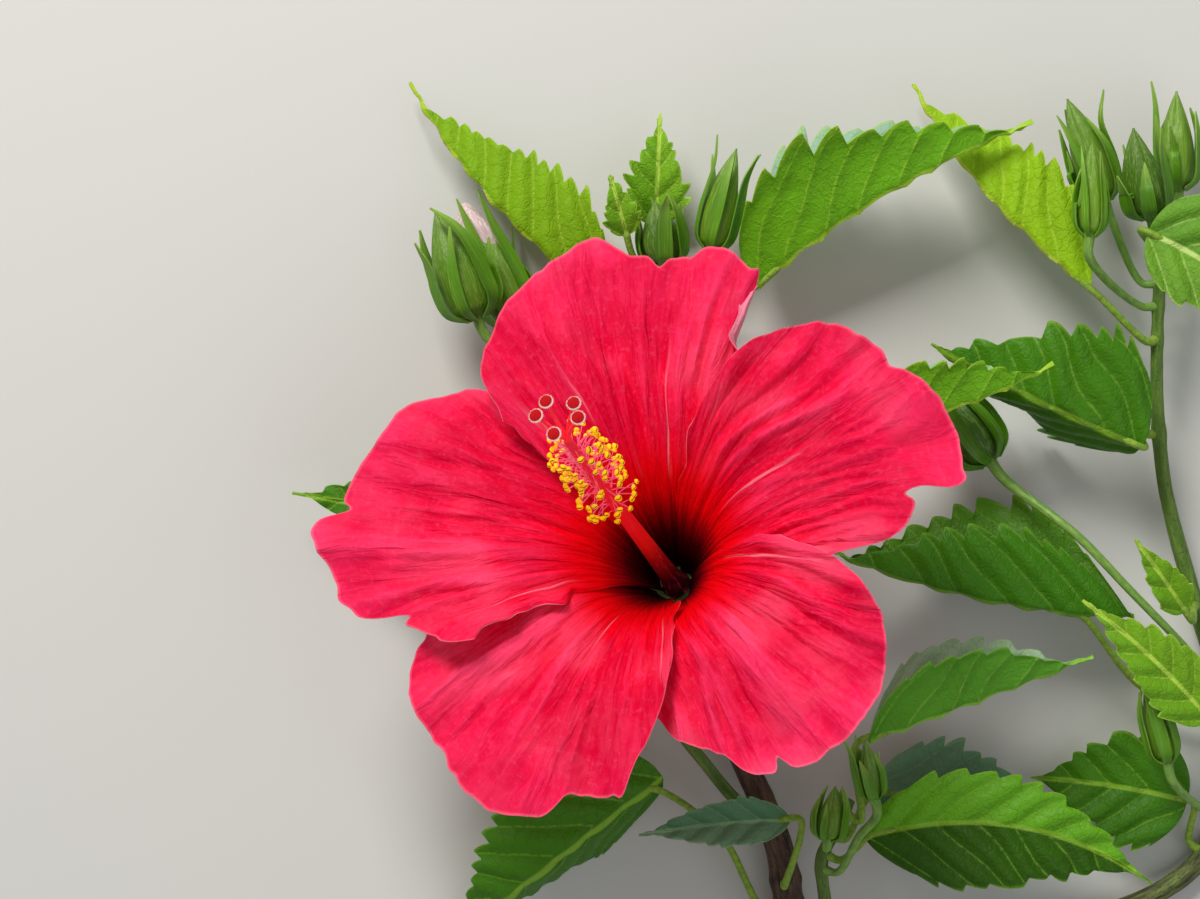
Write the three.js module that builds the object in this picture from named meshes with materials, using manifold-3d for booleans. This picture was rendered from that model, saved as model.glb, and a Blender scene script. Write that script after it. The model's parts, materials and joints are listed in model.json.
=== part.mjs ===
// A flowering hibiscus branch, cut from the shrub and laid on its back, in millimetres, +Z up.
// The open bloom faces up, +Y runs along the branch from its cut end to its shoot tip.
import * as THREE from 'three';
import { mergeVertices } from 'three/addons/utils/BufferGeometryUtils.js';
import Module from 'manifold-3d';

const wasm = await Module();
wasm.setup();

// Driving dimensions
const seatGap = 0.55;           // clearance between two pieces that touch on the real branch
const cutEndY = -136;           // the flat cut across the woody stem
const bloomBase = [15.5, -27.3, 24.4];
const bloomTilt = 20;           // degrees that the bloom's axis leans from straight up
const bloomToward = 122;        // azimuth that it leans to
const funnelRadius = 3.6;       // where the petals leave the receptacle
const funnelDepth = 40;         // from the petals' foot up to the level of their rims
const funnelSpread = 10;        // how soon the funnel opens, smaller is sooner
const petalThickness = 0.7;
const petalHalfAngle = 42;      // degrees from a petal's middle line to its edge
const petalShoulder = 12;       // degrees that it is wider beside the throat
const petalTwist = [0.95, 4.2]; // how far each edge stands before or behind its neighbour, foot and rim
const bladeThickness = 0.7;
const finestEdge = 0.02;        // shorter edges left by a join are closed up
const columnLength = 66;
const columnLean = 13.2;        // degrees from the bloom's axis
const columnToward = 133;
const columnRadius = [1.9, 0.85];
const stamenCount = 46;
const stamenZone = [0.56, 0.985];
const stamenReach = 7.4;
const filamentRadius = 0.28;
const antherRadius = 1;
const filamentPart = 0.6;       // share of a stamen that is bare filament
const styleReach = 8.5;
const styleSpread = 4.6;        // how far the stigmas stand from the column's axis
const styleRadius = 0.4;
const stigmaRadius = 1.5;
const calyxLobe = [12, 21];     // height of the calyx between its lobes and at their tips
const calyxThickness = 0.9;
const calyxClear = 1.9;         // from the middle of the petals out to the calyx's inner skin
const calyxFloor = -1.6;        // the receptacle's upper face, below the petals' foot
const epicalyxCount = 7;        // narrow bracts under the calyx
const epicalyxRadius = [0.8, 0.3];
const stalkRadius = [0.8, 0.95]; // a bud's stalk, at the stem and at the bud
const stalkStart = 2;           // how far a stalk runs straight out of its stem
const wasteBlock = [30, 20, 30];

const red = '#d81e4a';
const columnRed = '#c8102e';
const leafGreen = '#5f9a1e';
const darkGreen = '#3d6b25';
const youngGreen = '#86b52c';
const budGreen = '#5d8a3c';
const barkBrown = '#4a352b';

const turn = Math.PI / 180;
const vec = (p) => new THREE.Vector3(p[0], p[1], p[2]);

function ramp(from, to, x) {
  const t = Math.min(1, Math.max(0, (x - from) / (to - from)));
  return t * t * (3 - 2 * t);
}

// The value of an evenly spaced list at a place from -1 to 1, on a smooth curve through it.
function along(list, place) {
  const x = Math.min(1, Math.max(0, (place + 1) / 2)) * (list.length - 1);
  const i = Math.min(list.length - 2, Math.floor(x));
  const t = x - i;
  const at = (k) => list[Math.min(list.length - 1, Math.max(0, k))];
  const before = (at(i + 1) - at(i - 1)) / 2;
  const after = (at(i + 2) - at(i)) / 2;
  const rise = at(i + 1) - at(i);
  return at(i) + before * t + (3 * rise - 2 * before - after) * t * t + (before + after - 2 * rise) * t ** 3;
}

function geometryOf(points, faces) {
  const geometry = new THREE.BufferGeometry();
  const places = points.flatMap((p) => [p.x, p.y, p.z]);
  geometry.setAttribute('position', new THREE.Float32BufferAttribute(places, 3));
  geometry.setIndex(faces);
  return geometry;
}

function solidOf(geometry) {
  const bare = geometry.clone();
  bare.deleteAttribute('normal');
  bare.deleteAttribute('uv');
  const merged = mergeVertices(bare, 1e-4);
  return new wasm.Manifold(new wasm.Mesh({
    numProp: 3,
    vertProperties: new Float32Array(merged.attributes.position.array),
    triVerts: new Uint32Array(merged.index.array),
  }));
}

function joined(geometries) {
  const solid = geometries.map(solidOf).reduce((whole, piece) => whole.add(piece));
  return geometryFrom(solid.simplify(finestEdge));
}

function geometryFrom(solid) {
  const mesh = solid.getMesh();
  const geometry = new THREE.BufferGeometry();
  geometry.setAttribute('position', new THREE.Float32BufferAttribute(mesh.vertProperties, 3));
  geometry.setIndex(Array.from(mesh.triVerts));
  return geometry;
}

// A thin closed sheet: middle(u, v) gives each place on its mid surface with the normal there.
// u runs over `across`, v over `rows`, and each face stands half a thickness off the middle.
function sheet(middle, across, rows, thickness) {
  const points = [];
  for (const side of [1, -1]) {
    for (const v of rows) {
      for (const u of across) {
        const { place, normal } = middle(u, v);
        points.push(place.clone().addScaledVector(normal, side * thickness / 2));
      }
    }
  }
  const wide = across.length;
  const back = wide * rows.length;
  const faces = [];
  const quad = (a, b, c, d) => faces.push(a, c, b, a, d, c);
  for (let j = 0; j < rows.length - 1; j += 1) {
    for (let i = 0; i < wide - 1; i += 1) {
      const a = j * wide + i;
      quad(a, a + 1, a + 1 + wide, a + wide);
      quad(back + a, back + a + wide, back + a + 1 + wide, back + a + 1);
    }
    const left = j * wide;
    const right = left + wide - 1;
    quad(left, left + wide, back + left + wide, back + left);
    quad(right, back + right, back + right + wide, right + wide);
  }
  for (let i = 0; i < wide - 1; i += 1) {
    const last = (rows.length - 1) * wide + i;
    quad(i, back + i, back + i + 1, i + 1);
    quad(last, last + 1, back + last + 1, back + last);
  }
  return geometryOf(points, faces);
}

// A limb with round section along a curve, its radius given at each place, closed at both ends.
function limb(curve, radiusAt, sides, steps) {
  const frames = curve.computeFrenetFrames(steps, false);
  const points = [];
  const faces = [];
  for (let j = 0; j <= steps; j += 1) {
    const centre = curve.getPointAt(j / steps);
    const radius = radiusAt(j / steps);
    for (let i = 0; i < sides; i += 1) {
      const angle = 2 * Math.PI * i / sides;
      points.push(centre.clone()
        .addScaledVector(frames.normals[j], radius * Math.cos(angle))
        .addScaledVector(frames.binormals[j], radius * Math.sin(angle)));
    }
  }
  for (let j = 0; j < steps; j += 1) {
    for (let i = 0; i < sides; i += 1) {
      const next = (i + 1) % sides;
      const a = j * sides + i;
      const b = j * sides + next;
      faces.push(a, b, b + sides, a, b + sides, a + sides);
    }
  }
  const last = steps * sides;
  for (let i = 1; i < sides - 1; i += 1) {
    faces.push(0, i + 1, i);
    faces.push(last, last + i, last + i + 1);
  }
  return geometryOf(points, faces);
}

const between = (ends) => (t) => ends[0] + (ends[1] - ends[0]) * t;
const steps = (count) => Array.from({ length: count + 1 }, (_, i) => i / count);
const signedSteps = (count) => steps(count).map((t) => 2 * t - 1);

function finish(colour, roughness) {
  return new THREE.MeshStandardMaterial({ color: colour, roughness, metalness: 0 });
}

function named(name, geometry, material) {
  const mesh = new THREE.Mesh(geometry, material);
  mesh.name = name;
  return mesh;
}

// Stems

const stems = {
  main_stem: {
    through: [[41, -140, 3.4], [41, -128, 3.4], [41, -114, 4], [40, -100, 5], [37, -82, 6.5], [31, -67, 7.5],
      [22, -46, 8], [18, -20, 8], [15.5, 8, 6.5], [13.5, 30, 4], [12, 46, 1.5]],
    radius: [3.4, 1.5],
    steps: 24,
    sides: 8,
  },
  right_branch_lower: {
    from: ['main_stem', 0.075, [1, 0.1, 0.1]],
    through: [[53, -114, 5], [74, -103.5, 5], [100, -99, 4], [121, -90, 2.6],
      [130.5, -79, 2.2], [132, -70.4, 2.1]],
    radius: [2.4, 2.0],
    steps: 14,
    sides: 7,
  },
  right_branch_upper: {
    through: [[132.1, -69.7, 2.1], [132, -58, 2.5], [124, -31.5, 5], [117.5, -8.5, 8], [115.5, 8, 10],
      [115, 26, 13], [115.5, 42, 16]],
    radius: [2.0, 1.1],
    steps: 14,
    sides: 7,
  },
  green_shoot: {
    from: ['main_stem', 0.166, [0.55, 0.3, 0.8]],
    through: [[46.5, -97, 13.5], [45.5, -84, 17], [48, -78, 19], [51, -71.5, 20.5]],
    radius: [1.5, 1.1],
    steps: 8,
    sides: 7,
  },
  flower_stalk: {
    from: ['main_stem', 0.36, [-0.9, 0.3, 0.5]],
    through: [[21.5, -64.5, 13], [15.5, -56, 12], [14.5, -46, 9.5], [16.4, -37, 10.2],
      [17.1, -31.8, 13.2], [16.69, -29.2, 18.25]],
    radius: [1.3, 1.15],
    steps: 14,
    sides: 7,
  },
};

// The place on a stem's skin, a seat gap clear of it, on the side that `toward` points to.
function seatOn(stem, t, toward) {
  const centre = stem.curve.getPointAt(t);
  const tangent = stem.curve.getTangentAt(t);
  const out = vec(toward);
  out.addScaledVector(tangent, -out.dot(tangent)).normalize();
  const foot = centre.addScaledVector(out, between(stem.radius)(t) + seatGap);
  return { foot, out };
}

for (const stem of Object.values(stems)) {
  const points = stem.through.map(vec);
  if (stem.from) {
    const { foot, out } = seatOn(stems[stem.from[0]], stem.from[1], stem.from[2]);
    points.unshift(foot, foot.clone().addScaledVector(out, stem.radius[0]));
  }
  stem.curve = new THREE.CatmullRomCurve3(points);
}

function stemMesh(name, stem) {
  let geometry = limb(stem.curve, between(stem.radius), stem.sides, stem.steps);
  if (name === 'main_stem') {
    const waste = new THREE.BoxGeometry(...wasteBlock)
      .translate(stem.through[0][0], cutEndY - wasteBlock[1] / 2, 0);
    geometry = geometryFrom(solidOf(geometry).subtract(solidOf(waste)));
  }
  const colour = { main_stem: barkBrown, flower_stalk: darkGreen }[name] ?? leafGreen;
  return named(name, geometry, finish(colour, 0.7));
}

// Leaves: a midrib from the blade's foot to its tip, and two halves hinged on it. The left and
// the right half's angles are counted about the midrib from its left side, up through the top.

const leaves = {
  leaf_top_left: {
    on: ['main_stem', 0.907, [-1, 0.4, 0.6]], foot: [0, 31, 12], tip: [-39.5, 76.5, 5],
    bend: [3.5, 6], width: 15, halves: [209, 174],
  },
  leaf_shoot_tip: {
    on: ['main_stem', 0.986, [0.2, 0.3, 1]], foot: [11.5, 47, 6], tip: [12.5, 69.5, 10],
    bend: [0, 3], width: 6, halves: [15, 160],
  },
  leaf_shoot_small: {
    on: ['main_stem', 0.935, [-0.7, 0, 1]], foot: [5.5, 44, 17], tip: [2, 56, 21], bend: [0, 1],
    width: 3.5, halves: [20, 160],
  },
  leaf_top_right: {
    on: ['main_stem', 0.907, [1, 0.2, 0.5]], foot: [32.5, 34, 14], tip: [88, 66.5, 23],
    bend: [2.5, 5], width: 17.5, halves: [-22, 12],
  },
  leaf_behind_left: {
    on: ['main_stem', 0.722, [-1, 0, 0.4]], foot: [-2, -18.5, 13], tip: [-63.5, -9, 10],
    bend: [0, 6], width: 16, halves: [10, 165],
  },
  leaf_behind_right: {
    on: ['main_stem', 0.777, [1, 0.1, 0.8]], foot: [54.5, 5, 27], tip: [91, 17.2, 32],
    bend: [-2, 3], width: 11, halves: [-18, 12],
  },
  leaf_right_upper: {
    on: ['right_branch_upper', 0.83, [-1, 0, 1]], foot: [100, 33, 20], tip: [65.5, 76, 6],
    bend: [4, 5], width: 14, halves: [214, 174],
  },
  leaf_right_edge: {
    on: ['right_branch_upper', 0.97, [0.2, 0.4, 1]], foot: [110, 43.5, 31], tip: [135, 22, 27],
    bend: [3, 3], width: 13, halves: [12, 168],
  },
  leaf_right_middle: {
    on: ['right_branch_upper', 0.66, [-1, -0.3, 0.3]], foot: [110.5, 0.5, 22],
    tip: [67.5, 21.5, 21], bend: [1, 2], width: 19, halves: [-78, 172],
  },
  leaf_right_lower: {
    on: ['right_branch_upper', 0.13, [-1, 0.5, 0.6]], foot: [109.5, -34.5, 17],
    tip: [47.5, -21, 14], bend: [3, 2], width: 18, halves: [205, 175], joint: 0.22,
    via: [[112, -49, 9]],
  },
  leaf_lower_right: {
    on: ['green_shoot', 0.93, [1, 0.5, 0.2]], foot: [54, -58.5, 29], tip: [99, -41.5, 31],
    bend: [0, 3], width: 13, halves: [-12, 24],
  },
  leaf_bottom_right: {
    on: ['green_shoot', 0.7, [1, 0, 0.2]], foot: [54, -79, 21], tip: [112.5, -88.5, 21],
    bend: [5, 4], width: 12.5, halves: [8, 172],
  },
  leaf_bottom_dark: {
    on: ['green_shoot', 0.8, [1, 0.3, -0.4]], foot: [57, -71, 13], tip: [97, -77, 6], bend: [2, 2],
    width: 11, halves: [8, 172],
  },
  leaf_bottom_left: {
    on: ['main_stem', 0.231, [-1, 0.2, 0.3]], foot: [13, -67.5, 15], tip: [-30.5, -103, 0.6],
    bend: [-1, 9], width: 18, halves: [-68, 176], via: [[25, -80, 8]],
  },
  leaf_bottom_narrow: {
    on: ['main_stem', 0.258, [-0.2, 0.6, 1]], foot: [39, -76, 17], tip: [8, -79, 18], bend: [-1, 3],
    width: 6, halves: [50, 145],
  },
  leaf_far_right: {
    on: ['right_branch_upper', 0.08, [-0.4, 0, 1]], foot: [124, -55, 22], tip: [97.5, -30.5, 27],
    bend: [-1, 2], width: 7, halves: [15, 165],
  },
  leaf_far_small: {
    on: ['right_branch_upper', 0.34, [-0.4, 0.3, 1]], foot: [119.5, -33, 20], tip: [108, -18, 27],
    bend: [0, 1], width: 4, halves: [20, 160],
  },
  leaf_low_right: {
    on: ['right_branch_lower', 0.86, [-1, 0.5, 0.2]], foot: [122, -73, 8], tip: [90, -68.5, 4],
    bend: [-1, 2], width: 12, halves: [5, 175],
  },
};

const bladeColumns = [-1, -0.5, 0, 0.5, 1];
const bladeRows = 10;
const toothDepth = 0.09;
const petioleRadius = [0.95, 0.75];
const petioleJoint = 0.1;       // where the stalk ends in the blade, as a share of the midrib
const petioleLead = 3;          // how far a winding stalk runs along the midrib before it
const narrowest = 0.5;

function bladeFrame(leaf, v) {
  const foot = vec(leaf.foot);
  const tip = vec(leaf.tip);
  const run = tip.clone().sub(foot).normalize();
  const left = new THREE.Vector3(0, 0, 1).cross(run).normalize();
  const up = run.clone().cross(left);
  const middle = foot.clone().add(tip).multiplyScalar(0.5)
    .addScaledVector(left, 2 * leaf.bend[0]).addScaledVector(up, 2 * leaf.bend[1]);
  const midrib = new THREE.QuadraticBezierCurve3(foot, middle, tip);
  const tangent = midrib.getTangent(v);
  const side = up.clone().cross(tangent).normalize();
  return { place: midrib.getPoint(v), tangent, side, up: tangent.clone().cross(side) };
}

// Half width over length: v^0.5 (1 - v)^1.2, scaled to 1 at its widest, a third of the way up.
const widest = 0.5 / 1.7;
const bladeOutline = (v) => v ** 0.5 * (1 - v) ** 1.2 / (widest ** 0.5 * (1 - widest) ** 1.2);

function bladePoint(leaf, u, v) {
  const { place, tangent, side, up } = bladeFrame(leaf, v);
  const row = Math.round(v * bladeRows);
  const tooth = Math.abs(u) === 1 && row % 2 === 0 ? 1 + toothDepth : 1 - toothDepth * (Math.abs(u) === 1);
  const width = Math.max(narrowest, leaf.width * bladeOutline(v)) * tooth;
  const ray = (degrees) => side.clone().multiplyScalar(Math.cos(degrees * turn))
    .addScaledVector(up, Math.sin(degrees * turn));
  const [left, right] = leaf.halves.map(ray);
  const travel = new THREE.Vector3();
  if (u >= 0) travel.add(left);
  if (u <= 0) travel.sub(right);
  if (travel.lengthSq() < 0.01) travel.copy(up);
  place.addScaledVector(u < 0 ? right : left, Math.abs(u) * width);
  return { place, normal: tangent.clone().cross(travel).normalize() };
}

function leafMesh(name, leaf) {
  const blade = sheet((u, v) => bladePoint(leaf, u, v), bladeColumns, steps(bladeRows), bladeThickness);
  const { foot, out } = seatOn(stems[leaf.on[0]], leaf.on[1], leaf.on[2]);
  const joint = bladeFrame(leaf, leaf.joint ?? petioleJoint);
  const reach = foot.distanceTo(joint.place) / 3;
  const points = [foot, foot.clone().addScaledVector(out, Math.min(reach, stalkStart)),
    ...(leaf.via ?? []).map(vec),
    joint.place.clone().addScaledVector(joint.tangent, leaf.via ? -petioleLead : -reach), joint.place];
  const stalk = limb(new THREE.CatmullRomCurve3(points), between(petioleRadius), 4, leaf.via ? 7 : 4);
  const young = name.includes('shoot') || name.includes('far');
  return named(name, joined([blade, stalk]), finish(young ? youngGreen : leafGreen, 0.45));
}

// Buds: a pointed body on a stalk, in a ring of narrow bracts.

const buds = {
  bud_top_middle: {
    on: ['main_stem', 0.972, [0.4, 0.2, 1]], foot: [13.5, 38.5, 13], tip: [11.5, 51, 16], radius: 4,
  },
  bud_top_right: {
    on: ['main_stem', 0.944, [1, 0.1, 0.9]], foot: [23, 41, 12], tip: [28, 62, 14], radius: 3.5,
  },
  bud_left_front: {
    on: ['main_stem', 0.852, [-1, 0, 0.9]], foot: [-25, 27, 17], tip: [-34, 48.5, 19], radius: 5.2,
    via: [[-14, 18, 14]],
  },
  bud_left_back: {
    on: ['main_stem', 0.824, [-1, 0, 0.2]], foot: [-16.5, 26, 6.5], tip: [-28, 50, 7], radius: 5,
  },
  bud_right_cluster_left: {
    on: ['right_branch_upper', 0.93, [-1, 0.2, -0.2]], foot: [104, 51, 14], tip: [96, 72, 16],
    radius: 4,
  },
  bud_right_cluster_slim: {
    on: ['right_branch_upper', 0.89, [-1, 0.3, 0.4]], foot: [99, 43, 27], tip: [99.5, 62, 29],
    radius: 2.8,
  },
  bud_right_cluster_middle: {
    on: ['right_branch_upper', 0.99, [-0.2, 0.3, 0.8]], foot: [112, 47, 23], tip: [108, 65, 27],
    radius: 4.2,
  },
  bud_right_cluster_edge: {
    on: ['right_branch_upper', 0.96, [1, 0.3, 0]], foot: [119.5, 53.5, 12], tip: [119, 74, 12],
    radius: 3.6,
  },
  bud_right_large: {
    on: ['right_branch_upper', 0.2, [-0.6, 0.6, 0.9]], foot: [80.5, -2.5, 14],
    tip: [67.5, 15.5, 12], radius: 5.2,
    via: [[120, -41, 20], [107.5, -28.5, 24], [97, -17.5, 22.5]],
  },
  bud_lower_slim: {
    on: ['green_shoot', 0.62, [1, 0.2, 0.8]], foot: [55, -70, 31], tip: [52.5, -58, 36],
    radius: 2.3, via: [[52.5, -78, 27]],
  },
  bud_lower_wide: {
    on: ['green_shoot', 0.9, [-0.3, 0.3, 1]], foot: [46.2, -79, 25], tip: [47.5, -68, 27.5],
    radius: 2.8,
  },
  bud_far_right: {
    on: ['right_branch_lower', 0.94, [-1, 0, 1]], foot: [116, -64, 19], tip: [111.5, -47.5, 20],
    radius: 2.8,
  },
};

const bractCount = 5;
const bractRadius = [0.75, 0.22];
// A bract's line: its rise in bud heights, and its distance from the axis in bud radii.
const bractLine = [[0.02, 0.3], [0.12, 1.05], [0.42, 1.3], [0.68, 1.15]];
const budPoint = 0.25;

function budMesh(name, bud) {
  const foot = vec(bud.foot);
  const tip = vec(bud.tip);
  const axis = tip.clone().sub(foot).normalize();
  const height = foot.distanceTo(tip);
  const side = new THREE.Vector3(0, 0, 1).cross(axis).normalize();
  const up = axis.clone().cross(side);
  const line = new THREE.LineCurve3(foot, tip);
  const swell = (t) => Math.max(budPoint, bud.radius * Math.sin(Math.PI * (0.1 + 0.9 * t) ** 0.75) ** 0.85);
  const pieces = [limb(line, swell, 6, 4)];
  for (let k = 0; k < bractCount; k += 1) {
    const angle = 2 * Math.PI * (k + 0.3) / bractCount;
    const out = side.clone().multiplyScalar(Math.cos(angle)).addScaledVector(up, Math.sin(angle));
    const bract = bractLine.map(([rise, wide]) => foot.clone().addScaledVector(axis, rise * height)
      .addScaledVector(out, wide * bud.radius));
    pieces.push(limb(new THREE.CatmullRomCurve3(bract), between(bractRadius), 3, 2));
  }
  const seat = seatOn(stems[bud.on[0]], bud.on[1], bud.on[2]);
  const reach = seat.foot.distanceTo(foot) / 3;
  const lead = Math.min(reach, 2 * stalkStart);
  const route = [seat.foot, seat.foot.clone().addScaledVector(seat.out, Math.min(reach, stalkStart)),
    ...(bud.via ?? []).map(vec), foot.clone().addScaledVector(axis, -lead),
    foot.clone().addScaledVector(axis, stalkRadius[1])];
  pieces.push(limb(new THREE.CatmullRomCurve3(route), between(stalkRadius), 4, bud.via ? 8 : 3));
  return named(name, joined(pieces), finish(budGreen, 0.5));
}

// The bloom, in its own frame: the axis is +Z from the petals' foot.

const funnelHeight = (r) => funnelDepth * (1 - Math.exp(-(r - funnelRadius) / funnelSpread));
const funnelSlope = (r) => funnelDepth / funnelSpread * Math.exp(-(r - funnelRadius) / funnelSpread);

// Each petal's reach from the axis and the curl of its rim above the funnel, in millimetres,
// at even steps from its clockwise edge to its anticlockwise edge.
const petals = {
  petal_top: { azimuth: 100, reach: [38, 52, 57, 58, 55, 58, 61, 60, 58, 54, 51, 44, 35],
    curl: [0, 2.5, 0.5, -1, 0.5, -1.5, 0] },
  petal_right: { azimuth: 28, reach: [32, 39, 49, 60, 63, 63, 61, 59, 57, 54, 50, 41, 24],
    curl: [-0.5, 1, -1.5, 0.5, -1, 0, 1] },
  petal_lower_right: { azimuth: -44, reach: [38, 42, 47, 52, 55, 58, 57, 56, 54, 50, 46, 41, 33],
    curl: [-1, 0.5, -1.5, 0.5, -1, 1, 1.5] },
  petal_lower_left: { azimuth: -116, reach: [43, 51, 54, 57, 59, 59, 60, 57, 53, 50, 42, 35, 22],
    curl: [-0.5, 0, -1.5, 1, -1, 1, 1.5] },
  petal_left: { azimuth: 172, reach: [30, 42, 48, 52, 54, 56, 59, 65, 63, 59, 51, 45, 35],
    curl: [-0.5, -1, 0.5, -1, 2, -1, 1.5] },
};

const petalColumns = 12;
const petalRows = 11;

// A petal's mid surface: the funnel at (r, azimuth), moved along its normal by the twist that
// carries the anticlockwise edge over the next petal, and by the curl of the rim.
function petalPoint(petal, u, v) {
  const reach = along(petal.reach, u);
  const r = funnelRadius + (reach - funnelRadius) * v ** 1.4;
  const shoulder = petalShoulder * Math.exp(-(((r - 15) / 10) ** 2));
  const angle = (petal.azimuth + u * (petalHalfAngle + shoulder)) * turn;
  const slope = funnelSlope(r);
  const steep = Math.hypot(1, slope);
  const normal = new THREE.Vector3(-slope * Math.cos(angle), -slope * Math.sin(angle), 1)
    .divideScalar(steep);
  const twist = u * (petalTwist[0] + (petalTwist[1] - petalTwist[0]) * ramp(12, 55, r));
  const curl = along(petal.curl, u) * ramp(0.55, 1, v);
  const place = new THREE.Vector3(r * Math.cos(angle), r * Math.sin(angle), funnelHeight(r));
  return { place: place.addScaledVector(normal, twist + curl), normal };
}

function petalMesh(name, petal) {
  const geometry = sheet((u, v) => petalPoint(petal, u, v), signedSteps(petalColumns), steps(petalRows),
    petalThickness);
  return named(name, geometry, finish(red, 0.6));
}

// The calyx: a cup outside the funnel with five pointed lobes, closed below by its receptacle,
// and a ring of narrow bracts under it.
function calyxMesh() {
  const lobeColumns = 20;
  const foot = calyxFloor / 2;
  const cup = (turnPart, v) => {
    const angle = 2 * Math.PI * turnPart;
    const lobe = Math.abs(Math.cos(2.5 * angle)) ** 1.5;
    const top = calyxLobe[0] + (calyxLobe[1] - calyxLobe[0]) * lobe;
    const height = foot + (top - foot) * v;
    const r = funnelRadius - funnelSpread * Math.log(1 - Math.max(0, height) / funnelDepth);
    const slope = funnelSlope(r);
    const steep = Math.hypot(1, slope);
    const out = new THREE.Vector3(Math.cos(angle) * slope, Math.sin(angle) * slope, -1).divideScalar(steep);
    const place = new THREE.Vector3(r * Math.cos(angle), r * Math.sin(angle), height);
    return place.addScaledVector(out, calyxClear);
  };
  const points = [];
  const faces = [];
  const levels = [1, 0.72, 0.42, 0.16];
  const ring = (v, spread, drop) => steps(lobeColumns).slice(0, lobeColumns).map((t) => {
    const p = cup(t, v);
    const r = Math.hypot(p.x, p.y);
    return new THREE.Vector3(p.x * (r + spread) / r, p.y * (r + spread) / r, p.z + drop);
  });
  const flat = (radius, height) => steps(lobeColumns).slice(0, lobeColumns).map((t) => {
    const angle = 2 * Math.PI * t;
    return new THREE.Vector3(radius * Math.cos(angle), radius * Math.sin(angle), height);
  });
  const receptacle = [[4.4, -4], [1.5, -6]];
  const rings = [flat(calyxClear, calyxFloor), flat(funnelRadius + 1.4, calyxFloor),
    ...levels.slice().reverse().map((v) => ring(v, 0, 0)),
    ...levels.map((v) => ring(v, calyxThickness, -calyxThickness / 4)),
    ...receptacle.map(([radius, height]) => flat(radius, height))];
  rings.forEach((row) => points.push(...row));
  for (let j = 0; j < rings.length - 1; j += 1) {
    for (let i = 0; i < lobeColumns; i += 1) {
      const next = (i + 1) % lobeColumns;
      const a = j * lobeColumns + i;
      const b = j * lobeColumns + next;
      faces.push(a, a + lobeColumns, b, b, a + lobeColumns, b + lobeColumns);
    }
  }
  const last = (rings.length - 1) * lobeColumns;
  for (let i = 1; i < lobeColumns - 1; i += 1) {
    faces.push(0, i, i + 1);
    faces.push(last, last + i + 1, last + i);
  }
  const pieces = [geometryOf(points, faces)];
  const epicalyxLine = [[2, -4.6], [8, -2], [11, 4], [14, 10]];
  for (let k = 0; k < epicalyxCount; k += 1) {
    const angle = 2 * Math.PI * (k + 0.5) / epicalyxCount;
    const line = epicalyxLine
      .map(([r, height]) => new THREE.Vector3(r * Math.cos(angle), r * Math.sin(angle), height));
    pieces.push(limb(new THREE.CatmullRomCurve3(line), between(epicalyxRadius), 3, 2));
  }
  return named('calyx', joined(pieces), finish(budGreen, 0.55));
}

// The column: a tapering tube from the funnel's foot, stamens in a spiral round its upper half,
// and five styles at its top, each with a round stigma.
function columnMesh() {
  const lean = columnLean * turn;
  const toward = columnToward * turn;
  const axis = new THREE.Vector3(Math.sin(lean) * Math.cos(toward), Math.sin(lean) * Math.sin(toward),
    Math.cos(lean));
  const side = new THREE.Vector3(0, 0, 1).cross(axis).normalize();
  const front = axis.clone().cross(side);
  const at = (t) => axis.clone().multiplyScalar(columnLength * t);
  const line = new THREE.LineCurve3(at(0), at(1));
  const ray = (angle) => side.clone().multiplyScalar(Math.cos(angle)).addScaledVector(front, Math.sin(angle));
  const pieces = [limb(line, between(columnRadius), 8, 4)];
  const golden = Math.PI * (3 - Math.sqrt(5));
  const stamenRadius = (t) => (t < filamentPart ? filamentRadius : antherRadius * (t < 1 ? 1 : 0.4));
  for (let k = 0; k < stamenCount; k += 1) {
    const t = stamenZone[0] + (stamenZone[1] - stamenZone[0]) * ((k + 0.5) / stamenCount) ** 0.8;
    const out = ray(k * golden).addScaledVector(axis, 0.35).normalize();
    const end = at(t).addScaledVector(out, stamenReach);
    pieces.push(limb(new THREE.LineCurve3(at(t), end), stamenRadius, 3, 3));
  }
  for (let k = 0; k < 5; k += 1) {
    const out = ray(2 * Math.PI * (k + 0.25) / 5);
    const end = at(1).addScaledVector(axis, styleReach).addScaledVector(out, styleSpread);
    const bend = at(1).addScaledVector(axis, styleReach * 0.62).addScaledVector(out, styleSpread * 0.28);
    pieces.push(limb(new THREE.QuadraticBezierCurve3(at(stamenZone[1]), bend, end), () => styleRadius, 4, 3));
    pieces.push(new THREE.IcosahedronGeometry(stigmaRadius).translate(end.x, end.y, end.z));
  }
  return named('staminal_column', joined(pieces), finish(columnRed, 0.55));
}

const bloom = new THREE.Group();
bloom.position.set(...bloomBase);
const bloomAxis = new THREE.Vector3(
  Math.sin(bloomTilt * turn) * Math.cos(bloomToward * turn),
  Math.sin(bloomTilt * turn) * Math.sin(bloomToward * turn),
  Math.cos(bloomTilt * turn),
);
bloom.quaternion.setFromUnitVectors(new THREE.Vector3(0, 0, 1), bloomAxis);
Object.entries(petals).forEach(([name, petal]) => bloom.add(petalMesh(name, petal)));
bloom.add(calyxMesh());
bloom.add(columnMesh());

const branch = new THREE.Group();
Object.entries(stems).forEach(([name, stem]) => branch.add(stemMesh(name, stem)));
Object.entries(leaves).forEach(([name, leaf]) => branch.add(leafMesh(name, leaf)));
Object.entries(buds).forEach(([name, bud]) => branch.add(budMesh(name, bud)));
branch.add(bloom);

// The origin is under the middle of the branch, on the ground that it lies on.
branch.updateMatrixWorld(true);
const box = new THREE.Box3().setFromObject(branch, true);
const whole = new THREE.Group();
branch.position.set(-(box.min.x + box.max.x) / 2, -(box.min.y + box.max.y) / 2, -box.min.z);
whole.add(branch);

export default whole;
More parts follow.
